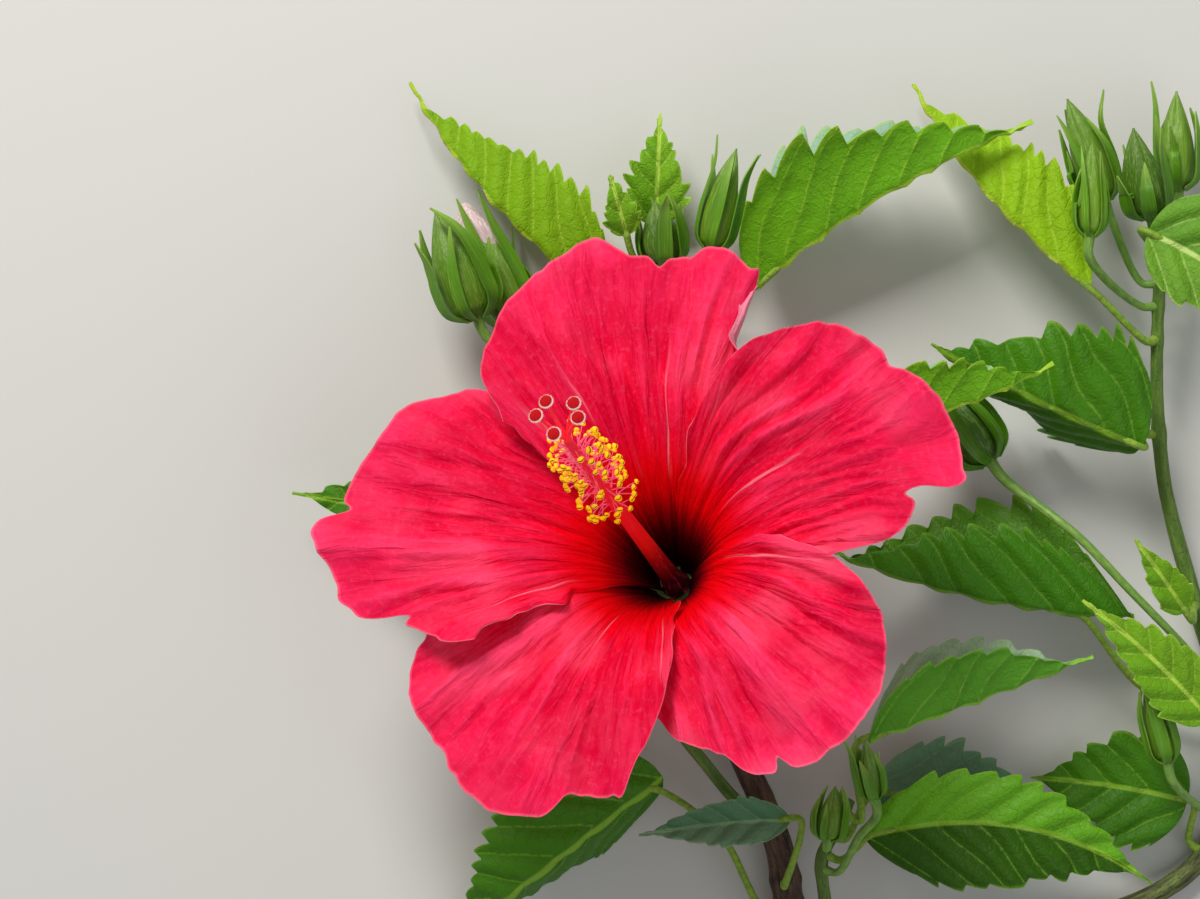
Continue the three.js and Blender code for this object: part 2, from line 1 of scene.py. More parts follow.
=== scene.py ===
import json
import math
import bpy
import numpy as np
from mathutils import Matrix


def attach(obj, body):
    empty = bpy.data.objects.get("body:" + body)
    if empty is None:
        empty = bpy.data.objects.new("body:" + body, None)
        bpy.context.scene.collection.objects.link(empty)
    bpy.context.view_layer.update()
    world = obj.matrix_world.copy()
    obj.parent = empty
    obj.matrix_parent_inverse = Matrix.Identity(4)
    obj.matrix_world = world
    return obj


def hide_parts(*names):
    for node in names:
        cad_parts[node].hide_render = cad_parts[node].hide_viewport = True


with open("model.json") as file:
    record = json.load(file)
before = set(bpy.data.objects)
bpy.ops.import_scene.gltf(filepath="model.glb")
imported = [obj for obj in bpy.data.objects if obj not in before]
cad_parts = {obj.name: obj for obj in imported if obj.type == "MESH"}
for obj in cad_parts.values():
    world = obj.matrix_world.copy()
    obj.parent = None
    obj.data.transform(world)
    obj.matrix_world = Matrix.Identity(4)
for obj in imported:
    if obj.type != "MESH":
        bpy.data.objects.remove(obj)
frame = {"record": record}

# A cut hibiscus branch lying on its back, seen from straight above.
# Its places are in millimetres in the branch's own coordinates; the cut end's middle ties them to the frame.
scene = bpy.context.scene
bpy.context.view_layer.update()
cutMiddle = np.array((41, -136, 3.4))
shift = np.array(frame["record"]["mounts"][0]["pos_m"]) - cutMiddle / 1000
turn = math.pi / 180
circle = 2 * math.pi

eye = {"height": 0.71, "lens": 101.4, "sensor": 36}
cameraData = bpy.data.cameras.new("eye")
cameraData.lens = eye["lens"]
cameraData.sensor_width = eye["sensor"]
camera = bpy.data.objects.new("eye", cameraData)
camera.location = shift + (0, 0, eye["height"])
scene.collection.objects.link(camera)
scene.camera = camera
scene.view_settings.view_transform = "Standard"
print("camera placed")


def unit(v):
    return v / np.linalg.norm(v, axis=-1, keepdims=True)


# points or directions from their three numbers, each of them one number or a grid of them
def vec(x, y, z):
    return np.stack(np.broadcast_arrays(x, y, z), axis=-1)


# points at a radius and an angle about the z axis: (radius cos a, radius sin a, height)
def polar(radius, angle, height):
    return vec(radius * np.cos(angle), radius * np.sin(angle), height)


# a bump of height 1 at 0: exp(-x^2)
def bell(x):
    return np.exp(-x**2)


# 0 below low, 1 above high, and a smooth step between them
def ramp(low, high, x):
    t = np.clip((x - low) / (high - low), 0, 1)
    return t * t * (3 - 2 * t)


# the value at a share of the way from the first of a pair to the second
def between(pair, share):
    return pair[0] + (pair[1] - pair[0]) * share


# a curve from one end to the other that bends towards the middle: (1-s)^2 a + 2 s (1-s) m + s^2 b
def arch(start, middle, end, s):
    return (1 - s) ** 2 * start + 2 * s * (1 - s) * middle + s**2 * end


# the value of an evenly spaced list at a place from -1 to 1, on a smooth curve through it
def along(values, place):
    values = np.asarray(values, float)
    x = np.clip((place + 1) / 2, 0, 1) * (len(values) - 1)
    i = np.minimum(len(values) - 2, x.astype(int))
    t = x - i
    before, here = values[np.maximum(i - 1, 0)], values[i]
    there, after = values[i + 1], values[np.minimum(i + 2, len(values) - 1)]
    leave, arrive = (there - before) / 2, (after - here) / 2
    rise = there - here
    return here + leave * t + (3 * rise - 2 * leave - arrive) * t**2 + (leave + arrive - 2 * rise) * t**3


# a smooth random height from -1 to 1: random values on a square net, blended between its corners
def lumps(x, y, seed):
    def corner(i, j):
        h = np.sin(i * 127.1 + j * 311.7 + seed * 74.7) * 43758.5453
        return 2 * (h - np.floor(h)) - 1
    x, y = np.broadcast_arrays(x, y)
    i, j = np.floor(x), np.floor(y)
    a, b = x - i, y - j
    a, b = a * a * (3 - 2 * a), b * b * (3 - 2 * b)
    low = corner(i, j) * (1 - a) + corner(i + 1, j) * a
    high = corner(i, j + 1) * (1 - a) + corner(i + 1, j + 1) * a
    return low * (1 - b) + high * b


# how far along a path each of its points is
def lengths(path):
    return np.concatenate([[0], np.cumsum(np.linalg.norm(np.diff(path, axis=0), axis=1))])


# even steps along a smooth curve through the points, its knots spaced by the root of their distance
def course(points, count):
    p = np.asarray(points, float)
    p = np.vstack([2 * p[0] - p[1], p, 2 * p[-1] - p[-2]])
    gap = np.linalg.norm(np.diff(p, axis=0), axis=1) ** 0.5
    t = np.linspace(0, 1, 24, endpoint=False)[None, :, None]
    a, b, c, d = (p[k:len(p) - 3 + k][:, None] for k in range(4))
    f, g, h = (gap[k:len(gap) - 2 + k][:, None, None] for k in range(3))
    leave = ((b - a) / f - (c - a) / (f + g) + (c - b) / g) * g
    arrive = ((c - b) / g - (d - b) / (g + h) + (d - c) / h) * g
    fine = b + leave * t + (3 * (c - b) - 2 * leave - arrive) * t**2 + (leave + arrive - 2 * (c - b)) * t**3
    fine = np.vstack([fine.reshape(-1, 3), p[-2]])
    length = lengths(fine)
    place = np.linspace(0, length[-1], count)
    return np.stack([np.interp(place, length, fine[:, k]) for k in range(3)], axis=1)


# quads over a grid of point numbers, facing the way that rows x columns turn
def quads(index):
    a, b, c, d = index[:-1, :-1], index[:-1, 1:], index[1:, 1:], index[1:, :-1]
    return np.stack([a, b, c, d], axis=-1).reshape(-1, 4)


# A surface is (points, faces, lay, tone): lay is where a point is on its piece, in millimetres,
# and tone is three numbers about it that the piece's material reads.
# A thin closed sheet: a front and a back grid, joined round their rim. Its tone's first number is 1 in front
# and -1 behind.
def sheet(front, back, lay, tone):
    rows, columns = front.shape[:2]
    count = rows * columns
    index = np.arange(count).reshape(rows, columns)
    rim = np.concatenate([index[0], index[1:, -1], index[-1, -2::-1], index[-2::-1, 0]])
    edge = np.stack([rim[:-1], rim[1:], rim[1:] + count, rim[:-1] + count], axis=-1)
    faces = [quads(index)[:, ::-1], quads(index) + count, edge]
    points = np.vstack([front.reshape(-1, 3), back.reshape(-1, 3)])
    marks = np.tile(tone.reshape(-1, 3), (2, 1))
    marks[:, 0] = np.repeat([1, -1], count)
    return points, faces, np.tile(lay.reshape(-1, 3), (2, 1)), marks


seedStep = 31  # how far apart the lays of two seeds are


# A tube round a path; radius is one number for each ring, or one for each point of each ring. Its lay is
# (x and y of the cross section, distance along), and its tone's second number runs from 0 to 1 along it.
def tube(path, radius, sides, tone, seed):
    ahead = unit(np.gradient(path, axis=0))
    spare = np.linalg.svd(ahead)[2][-1]
    side = unit(np.cross(spare, ahead))
    up = np.cross(ahead, side)
    angle = np.linspace(0, circle, sides, endpoint=False)
    radius = np.reshape(radius, (len(path), -1))
    ray = np.cos(angle)[:, None] * side[:, None] + np.sin(angle)[:, None] * up[:, None]
    points = (path[:, None] + radius[..., None] * ray).reshape(-1, 3)
    count = len(path) * sides
    index = np.arange(count).reshape(len(path), sides)
    index = np.hstack([index, index[:, :1]])
    first, last = index[0], index[-1]
    caps = [vec(count, first[1:], first[:-1]), vec(count + 1, last[:-1], last[1:])]
    run = lengths(path)
    lay = polar(radius, angle, run[:, None]).reshape(-1, 3)
    lay = np.vstack([lay, (0, 0, 0), (0, 0, run[-1])]) + (0, seed * seedStep, 0)
    marks = np.tile(np.array(tone, float), (count + 2, 1))
    marks[:, 1] = [*np.repeat(np.linspace(0, 1, len(path)), sides), 0, 1]
    return np.vstack([points, path[0], path[-1]]), [quads(index)] + caps, lay, marks


# The same small closed shape at many places, its z axis turned ahead and its x axis across.
# Its tone's third number runs from 0 to 1 over the copies.
def scatter(points, faces, places, across, ahead, sizes, marks):
    directions = np.stack([across, np.cross(ahead, across), ahead], axis=1)
    moved = np.einsum("pk,nkc->npc", points, directions) * np.reshape(sizes, (-1, 1, 1)) + places[:, None]
    hops = np.arange(len(places)) * len(points)
    spread = [(face[None] + hops[:, None, None]).reshape(-1, face.shape[1]) for face in faces]
    lay = np.tile(points, (len(places), 1)) + np.repeat(hops, len(points))[:, None] * 0.37
    tone = np.tile(marks, (len(places), 1))
    tone[:, 2] = np.repeat(np.linspace(0, 1, len(places)), len(points))
    return moved.reshape(-1, 3), spread, lay, tone


settleBelow = 1.8


# what would dip into the ground is raised: under 1.8 mm a height goes half as far down
def settle(points):
    points[..., 2] -= np.minimum(points[..., 2] - settleBelow, 0) / 2
    return points


# one closed mesh from several surfaces, tied to the frame and standing for its solids
def assemble(name, surfaces, material, slotName, *nodes, crease=50):
    counts = np.cumsum([0] + [len(s[0]) for s in surfaces])
    faces = [(face + at).tolist() for s, at in zip(surfaces, counts) for face in s[1]]
    mesh = bpy.data.meshes.new(name)
    points = np.vstack([s[0] for s in surfaces]) / 1000 + shift
    points[:, 2] = np.maximum(points[:, 2], 0)
    mesh.from_pydata(points, [], sum(faces, []))
    for kind, place in (("lay", 2), ("tone", 3)):
        layer = mesh.attributes.new(kind, "FLOAT_VECTOR", "POINT")
        layer.data.foreach_set("vector", np.vstack([s[place] for s in surfaces]).ravel())
    mesh.shade_smooth()
    mesh.set_sharp_from_angle(angle=crease * turn)
    mesh.materials.append(material)
    piece = bpy.data.objects.new(name, mesh)
    scene.collection.objects.link(piece)
    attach(piece, "root")
    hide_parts(*nodes)


# a colour as it looks on screen, turned to linear light
def tint(code):
    rgb = np.array([int(code[k:k + 2], 16) for k in (1, 3, 5)]) / 255
    rgb = np.where(rgb <= 0.04045, rgb / 12.92, ((rgb + 0.055) / 1.055) ** 2.4)
    return (*rgb.tolist(), 1.0)


# A shader socket that takes part in sums. Each operation adds one node to its tree.
class Wire:
    def __init__(self, tree, socket=None):
        self.tree = tree
        self.socket = socket

    # a value is another wire, a number or a colour's code
    def node(self, kind, settings, values, output=0):
        made = self.tree.nodes.new("ShaderNode" + kind)
        for key, value in settings.items():
            setattr(made, key, value)
        for key, value in values.items():
            if isinstance(value, Wire):
                self.tree.links.new(value.socket, made.inputs[key])
            else:
                made.inputs[key].default_value = tint(value) if isinstance(value, str) else value
        return Wire(self.tree, made.outputs[output] if made.outputs else None)

    def math(self, operation, *values):
        return self.node("Math", {"operation": operation}, dict(enumerate(values)))

    def only(self, operation):
        return self.math(operation, self)

    def __add__(self, other):
        return self.math("ADD", self, other)

    def __sub__(self, other):
        return self.math("SUBTRACT", self, other)

    def __rsub__(self, other):
        return self.math("SUBTRACT", other, self)

    def __mul__(self, other):
        return self.math("MULTIPLY", self, other)

    def __truediv__(self, other):
        return self.math("DIVIDE", self, other)

    __radd__, __rmul__ = __add__, __mul__

    # 0 below low, 1 above high, smooth between
    def rise(self, low, high):
        return self.node("MapRange", {"interpolation_type": "SMOOTHSTEP"},
                         {0: self, 1: low, 2: high, 3: 0.0, 4: 1.0})

    # the three numbers of a vector attribute of the mesh
    def read(self, name):
        found = self.node("Attribute", {"attribute_name": name}, {}, 1)
        return [found.node("SeparateXYZ", {}, {0: found}, k) for k in range(3)]

    def join(self, x, y, z):
        return self.node("CombineXYZ", {}, {0: x, 1: y, 2: z})

    def noise(self, x, y, z, detail=3.0, roughness=0.6):
        return self.node("TexNoise", {}, {"Vector": self.join(x, y, z), "Scale": 1.0, "Detail": detail,
                                          "Roughness": roughness})

    # distance to the nearest border of the cells of a random net
    def cells(self, x, y, z):
        return self.node("TexVoronoi", {"feature": "DISTANCE_TO_EDGE"},
                         {"Vector": self.join(x, y, z), "Scale": 1.0})

    # distance to the nearest whole number
    def nearest(self):
        return ((self + 0.5).only("FRACT") - 0.5).only("ABSOLUTE")

    # from one colour at share 0 to the other at share 1
    def blend(self, one, share, other):
        return self.node("Mix", {"data_type": "RGBA"}, {0: share, 6: one, 7: other}, 2)

    # this colour under coats laid on in turn, each (share, colour)
    def coats(self, *layers):
        colour = self
        for share, other in layers:
            colour = self.blend(colour, share, other)
        return colour

    # this colour, made lighter or darker by a factor where share is 1
    def shaded(self, share, factor):
        return self.blend(self, share, self.node("HueSaturation", {}, {"Value": factor, "Color": self}))

    # the colour at this place on a scale of (place, colour) stops, its two ends named first
    def scale(self, stops):
        made = self.tree.nodes.new("ShaderNodeValToRGB")
        bar = made.color_ramp.elements
        for k, (place, code) in enumerate(stops):
            stop = bar[k] if k < 2 else bar.new(place)
            stop.position = place
            stop.color = tint(code)
        self.tree.links.new(self.socket, made.inputs[0])
        return Wire(self.tree, made.outputs[0])


def newMaterial(name):
    material = bpy.data.materials.new(name)
    material.use_nodes = True
    material.node_tree.nodes.clear()
    wire = Wire(material.node_tree)
    wire.material = material
    return wire


# ends a material: its colour, its roughness, its relief up to a depth in metres, and how strongly its own
# colour shines out, for the light that comes through
def finish(wire, colour, rough, height, depth, glow=0.0, **fixed):
    bump = wire.node("Bump", {}, {"Strength": 1.0, "Distance": depth, "Height": height})
    values = {"Base Color": colour, "Roughness": rough, "Normal": bump}
    if glow:
        values.update({"Emission Color": colour, "Emission Strength": glow})
    values.update({key.replace("_", " "): value for key, value in fixed.items()})
    surface = wire.node("BsdfPrincipled", {}, values)
    wire.node("OutputMaterial", {}, {"Surface": surface})
    return wire.material


# Petals
# lay is (30 mm of width to each side, distance from the axis, seed), tone is (face, share of the reach,
# height of the folds)
def petalMaterial():
    wire = newMaterial("petal")
    across, reach, seed = wire.read("lay")
    face, rim, crest = wire.read("tone")
    broad = wire.noise(across * 0.2, reach * 0.04, seed, 2.0, 0.5)
    streak = wire.noise(across * 0.8 + broad * 3.0, reach * 0.05, seed)
    fine = wire.noise(across * 0.62 + broad * 5.0, reach * 0.1, seed + 5.0, 3.0, 0.5)
    crinkle = 1.0 - (fine - 0.5).only("ABSOLUTE").rise(0.0, 0.06)
    # patches about 9 mm across: the pale ones are painted sheen, the dark ones darken the red at random
    blotchAndSheen = wire.noise(across * 0.11, reach * 0.1, seed + 9.0)
    # broad patches about 20 mm across of painted shade and painted light
    shadingPatch = wire.noise(across * 0.05, reach * 0.05, seed + 13.0, 1.0, 0.5)
    grain = wire.noise(across * 1.1 + fine * 2.0, reach * 1.0, seed + 2.0)
    place = (reach + (streak - 0.5) * 4.4 + (fine - 0.5) * 2.0) / 64.0
    base = place.scale([(0.08, "#200004"), (0.98, "#ee2056"), (0.122, "#540008"), (0.16, "#a2000a"),
                        (0.2, "#e0020c"), (0.26, "#e60012"), (0.36, "#e2002c"), (0.7, "#e2063e")])
    outside = reach.rise(14.0, 26.0)
    # painted light from the folds: lighter pink on the fold crests and crinkle lines is painted highlight,
    # darker red in the fold troughs is painted shade
    ridgeHighlight = crest.rise(0.2, 1.6) * 0.45 + fine.rise(0.52, 0.66) * 0.3 + crinkle * 0.24
    valleyShade = (1.0 - crest.rise(-1.5, -0.1)) * 0.36 + (1.0 - fine.rise(0.34, 0.5)) * 0.14
    veinGap = ((across + (broad - 0.5) * 8.0) / 12.0).nearest() * reach * 0.3
    chosen = wire.noise(across * 0.07, seed + reach * 0.02, 3.0, 0.0).rise(0.5, 0.58)
    length = reach.rise(14.0, 19.0) * (1.0 - reach.rise(24.0, 42.0))
    vein = (1.0 - veinGap.rise(0.05, 0.4)) * length * chosen
    behind = 1.0 - face.rise(-0.4, 0.4)
    # the last coat, lighter pink on the fine wrinkles, is a painted highlight
    colour = base.coats(
        (ridgeHighlight * outside, "#fa3c70"), (valleyShade * outside, "#b4002a"),
        (blotchAndSheen.rise(0.48, 0.7) * 0.34 * reach.rise(24.0, 48.0), "#ea4868"),
        ((1.0 - blotchAndSheen.rise(0.3, 0.5)) * 0.4 * outside, "#c2002e"),
        ((1.0 - shadingPatch.rise(0.4, 0.54)) * 0.34 * outside, "#b8002c"),
        (shadingPatch.rise(0.52, 0.66) * 0.3 * outside, "#f45a80"),
        (vein * 0.5, "#f698ac"), (behind * 0.75 * reach.rise(8.0, 30.0), "#f09ab0"),
        (rim.rise(0.99, 0.999) * 0.3, "#f28ea6"), (grain.rise(0.52, 0.74) * 0.12 * outside, "#fa6a8e"))
    height = streak * 0.3 + fine * 1.2 + grain * 0.2
    return finish(wire, colour, 0.6 - fine * 0.1, height, 0.0008, 0.07, Specular_IOR_Level=0.05)


# a direction that leans by so many degrees from straight up, towards an azimuth
def leanAxis(lean, toward):
    out = math.sin(lean * turn)
    return vec(out * math.cos(toward * turn), out * math.sin(toward * turn), math.cos(lean * turn))


bloom = {"base": np.array((15.5, -27.3, 24.4)), "lean": 20, "toward": 122}
bloomAxis = leanAxis(bloom["lean"], bloom["toward"])
kx, ky, kz = np.cross((0, 0, 1), bloomAxis)
cross = np.array(((0, -kz, ky), (kz, 0, -kx), (-ky, kx, 0)))
bloomTurn = np.eye(3) + cross + cross @ cross / (1 + bloomAxis[2])


def toBloom(points):
    return points @ bloomTurn.T + bloom["base"]


funnel = {"radius": 3.6, "depth": 40, "spread": 10}
fan = {
    "half": 42, "shoulder": 12, "twist": (0.95, 4.2), "thick": 0.34, "columns": 141, "rows": 111,
    "shrink": 0.42, "mostRoll": 2.8}


# the slope of the funnel's height, 40 (1 - exp(-(r - 3.6) / 10)), at a distance r from its axis
def funnelSlope(r):
    return funnel["depth"] / funnel["spread"] * np.exp(-(r - funnel["radius"]) / funnel["spread"])


# A petal is a sector of the funnel, moved along its normal by the twist that carries its anticlockwise edge
# over the next petal, by the curl of its rim, by folds that fan out from the throat, by ruffles at the rim
# and by its main veins. Its side margins ripple. One may roll: past its crease it shrinks to 0.42 and turns
# on a circle, (radius sin a, radius (1 - cos a)), up to 2.8 radians, and goes straight on from there. A lean
# shifts a part of it sideways.
def petalSurface(petal, seed, u, v):
    reach = along(petal["reach"], u) + 0.4 * lumps(u * 9, 0, seed) + 0.3 * lumps(u * 22, 0, seed + 1)
    for place, depth, width in petal["notches"]:
        reach = reach - depth * bell((u - place) / width)
    r = between((funnel["radius"], reach), v**1.4)
    arc = fan["half"] * turn * r
    side = np.sign(u) * 4
    edge = np.abs(u) ** 12 * ramp(9, 16, r)
    ripple = edge * (0.9 * lumps(r / 6, side, seed + 7) + 0.5 * lumps(r / 2.6, side, seed + 8))
    lift = edge * (0.7 * lumps(r / 8, side, seed + 10) + 0.3 * lumps(r / 3, side, seed + 11))
    for at, amount, width in petal.get("margin", ()):
        hook = amount * bell((r - at) / width) * np.where(u > 0, u**8, 0)
        ripple, lift = ripple + hook, lift + 0.5 * hook
    place = u
    if "roll" in petal:
        crease, low, high, radius = petal["roll"]
        share = ramp(low, low + 6, r) * (1 - ramp(high, high + 5, r))
        past = np.maximum(0, crease - u) * arc
        bend = np.minimum(past * fan["shrink"] / radius, fan["mostRoll"])
        rest = past * fan["shrink"] - radius * bend
        place = u + (past - radius * np.sin(bend) - rest * np.cos(bend)) * share / arc
        lift = lift + (radius * (1 - np.cos(bend)) + rest * np.sin(bend)) * share
    if "lean" in petal:
        centre, width, low, high, amount = petal["lean"]
        place = place + amount * ramp(low, high, r) * bell((u - centre) / width)
    shoulder = np.where(u < 0, fan["shoulder"], 0) * bell((r - 15) / 10)
    angle = (petal["azimuth"] + place * (fan["half"] + shoulder)) * turn + np.sign(u) * ripple / r
    slope = funnelSlope(r)
    normal = unit(polar(-slope, angle, 1))
    offset = u * between(fan["twist"], ramp(12, 55, r)) + along(petal["curl"], u) * ramp(0.55, 1, v)
    bend = u * 4.2 + 0.5 * lumps(u * 2, r / 22, seed + 9)
    crease = 0.8 - 3 * np.abs(lumps(bend * 2.1, r / 46, seed + 12))
    folds = (1.2 * lumps(bend * 1.3, r / 34, seed + 2) + 0.8 * lumps(bend * 2.9, r / 20, seed + 3)
             + 0.42 * lumps(bend * 6 + 0.6 * lumps(r / 7, u * 2, seed), r / 9, seed + 4)
             + 0.4 * np.maximum(crease, -0.6))
    ruffle = 1.2 * lumps(u * 5, 3, seed + 5) + 0.6 * lumps(u * 12, 5, seed + 6)
    veins = sum(0.3 * bell((u - at) * r * 0.73 / 0.6) for at in petal["veins"])
    offset = offset + lift + folds * ramp(9, 30, r) * (1 - 0.35 * ramp(0.8, 1, v))
    offset = offset + ruffle * ramp(0.74, 1, v) + veins * ramp(9, 16, r) * (1 - ramp(30, 52, r))
    middle = polar(r, angle, funnel["depth"] - funnel["spread"] * slope)
    return middle + normal * offset[..., None], r, folds


# reach is the rim's distance from the axis at even steps of u; notches are (u, depth, width), a lobe's depth
# is below 0; roll is (u of its crease, from and to distance, radius); margin is (distance, mm out, width);
# lean is (u, width, from and to distance, shift of u)
petals = {
    "petal_top": dict(
        azimuth=100, reach=(52, 54, 57.5, 59, 56.2, 57, 61, 60, 56.8, 54.8, 51, 46, 36),
        curl=(0, 2.5, 0.5, -1, 0.5, -1.5, 0), roll=(-0.76, 37, 58, 1.1),
        notches=((-0.28, 2.2, 0.035), (-0.43, 1, 0.03), (0.03, -1, 0.05), (-0.79, -2, 0.04)),
        veins=(-0.5, -0.2, 0.05, 0.3, 0.6)),
    "petal_right": dict(
        azimuth=28, reach=(24, 36, 48.5, 53.5, 62, 62, 61, 58, 57, 54.3, 48.5, 39, 24),
        curl=(-0.5, 1, -2, 0.5, -1, 0, 1), lean=(-0.42, 0.16, 52, 61, -0.08),
        notches=((-0.47, 4, 0.04), (-0.39, -2.5, 0.035), (-0.7, -1.5, 0.05), (0.15, 0.8, 0.05)),
        veins=(-0.55, -0.25, 0, 0.25, 0.5)),
    "petal_lower_right": dict(
        azimuth=-44, reach=(35, 41, 45, 51.8, 54.5, 56.5, 57.5, 56, 53.8, 50.5, 45, 37, 27),
        curl=(-1, 0.5, -1.5, 0.5, -1, 1, 2), notches=((-0.36, 3, 0.025), (-0.6, 1, 0.04)),
        veins=(-0.6, -0.35, -0.05, 0.25, 0.5)),
    "petal_lower_left": dict(
        azimuth=-116, reach=(46, 52, 55.3, 56.5, 58.5, 60, 60.5, 58.5, 52, 51.8, 43, 33, 21),
        curl=(-0.5, 0, -1.5, 1, -1, 1, 1.5), margin=((13.4, 2.4, 1.3), (17.5, -0.8, 2), (27, 0.8, 3)),
        notches=((0.27, 1.8, 0.04), (0.56, -2.6, 0.035), (-0.4, 1, 0.05)),
        veins=(-0.5, -0.2, 0.1, 0.35, 0.6)),
    "petal_left": dict(
        azimuth=172, reach=(34, 45, 51.4, 55.2, 57, 58.3, 61, 65.3, 62.2, 60, 50.5, 45, 38),
        curl=(-0.5, -1, 0.5, -1, 2, -1, 1.5), margin=((18, -2, 1.5), (22, 1.6, 1.8), (29, -1.2, 2.2)),
        notches=((0.06, 4, 0.035), (0.66, 3.2, 0.028), (0.93, -3, 0.06), (0.42, 1.2, 0.04),
                 (0.59, -2.2, 0.04)),
        veins=(-0.45, -0.15, 0.15, 0.4, 0.65)),
}

petalFinish = petalMaterial()
u, v = np.meshgrid(np.linspace(-1, 1, fan["columns"]), np.linspace(0, 1, fan["rows"]) ** 0.9)
half = fan["thick"] / 2 * (1 - 0.5 * ramp(0.96, 1, v))[..., None]
for seed, (name, petal) in enumerate(petals.items(), 1):
    middle, r, folds = petalSurface(petal, seed, u, v)
    skin = unit(np.cross(np.gradient(middle, axis=0), np.gradient(middle, axis=1))) * half
    surface = sheet(toBloom(middle + skin), toBloom(middle - skin), vec(u * 30, r, seed * 40.37),
                    vec(0, v, folds))
    assemble(name, [surface], petalFinish, "petal_red", name)
print("petals made")


# Stems
# tone is (1 for green, place along, 1 on the cut face); on is (carrier, share of its length, the direction in
# which its skin is left)
stems = {
    "main_stem": dict(
        through=((41, -136, 3.4), (41, -128, 3.4), (41, -114, 4), (40, -100, 5), (37, -82, 6.5),
                    (31, -67, 7.5), (22, -46, 8), (18, -20, 8), (15.5, 8, 6.5), (13.5, 30, 4), (12, 46, 1.5)),
        radius=(3.4, 1.5), steps=260, sides=40, green=0),
    "right_branch_lower": dict(
        on=("main_stem", 0.06, (1, 0.1, 0.1)),
        through=((53, -114, 5), (74, -103.5, 5), (100, -99, 4), (121, -90, 2.6), (130.5, -79, 2.2),
                    (132, -70.4, 2.1)),
        radius=(2.4, 2.0), steps=160, sides=28, green=0.5),
    "right_branch_upper": dict(
        through=((132.1, -70.2, 2.1), (132, -58, 2.5), (124, -31.5, 5), (117.5, -8.5, 8), (115.5, 8, 10),
                    (115, 26, 13), (115.5, 42, 16)),
        radius=(2.0, 1.1), steps=200, sides=28, green=0.85),
    "green_shoot": dict(
        on=("main_stem", 0.152, (0.55, 0.3, 0.8)),
        through=((46.5, -97, 13.5), (45.5, -84, 17), (48, -78, 19), (51, -71.5, 20.5)),
        radius=(1.5, 1.1), steps=80, sides=24, green=1),
    "flower_stalk": dict(
        on=("main_stem", 0.35, (-0.9, 0.3, 0.5)),
        through=((21.5, -64.5, 13), (15.5, -56, 12), (14.5, -46, 9.5), (16.4, -37, 10.2),
                    (17.1, -31.8, 13.2), (16.6, -28.9, 18.8)),
        radius=(1.3, 1.15), steps=90, sides=24, green=1),
}


# the place on a stem's skin at a share of its length, on the side that toward points to
def seatOn(stem, share, toward, clear):
    path = stem["path"]
    at = share * (len(path) - 1)
    k = min(int(at), len(path) - 2)
    ahead = unit(path[k + 1] - path[k])
    out = unit(np.array(toward, float) - np.dot(toward, ahead) * ahead)
    return between(path[k:k + 2], at - k) + out * (between(stem["radius"], share) + clear), out


for name, stem in stems.items():
    points = list(stem["through"])
    if "on" in stem:
        carrier, share, toward = stem["on"]
        foot, out = seatOn(stems[carrier], share, toward, -0.8)
        points = [foot, foot + out * (stem["radius"][0] + 1.3)] + points
    stem["path"] = course(points, stem["steps"] + 1)
    stem["seats"] = []

stalk = {"points": 60, "gap": 0.55, "sunk": 1.2}
stalkShare = np.linspace(0, 1, stalk["points"])


# A leaf's or bud's stalk: it starts under its carrier's skin, leaves it at a right angle, passes the places
# it is given and meets its blade or body from behind, where it goes in by a length.
def stalkPath(piece, foot, ahead, lead, goesIn):
    carrier, share, toward = piece["on"]
    stems[carrier]["seats"].append(share)
    seat, out = seatOn(stems[carrier], share, toward, stalk["gap"])
    reach = np.linalg.norm(foot - seat) / 3
    start = [seat - out * stalk["sunk"], seat + out * min(reach, 2)]
    stop = [foot - ahead * min(reach, lead), foot + ahead * goesIn]
    return course([*start, *map(np.array, piece.get("via", ())), *stop], stalk["points"])


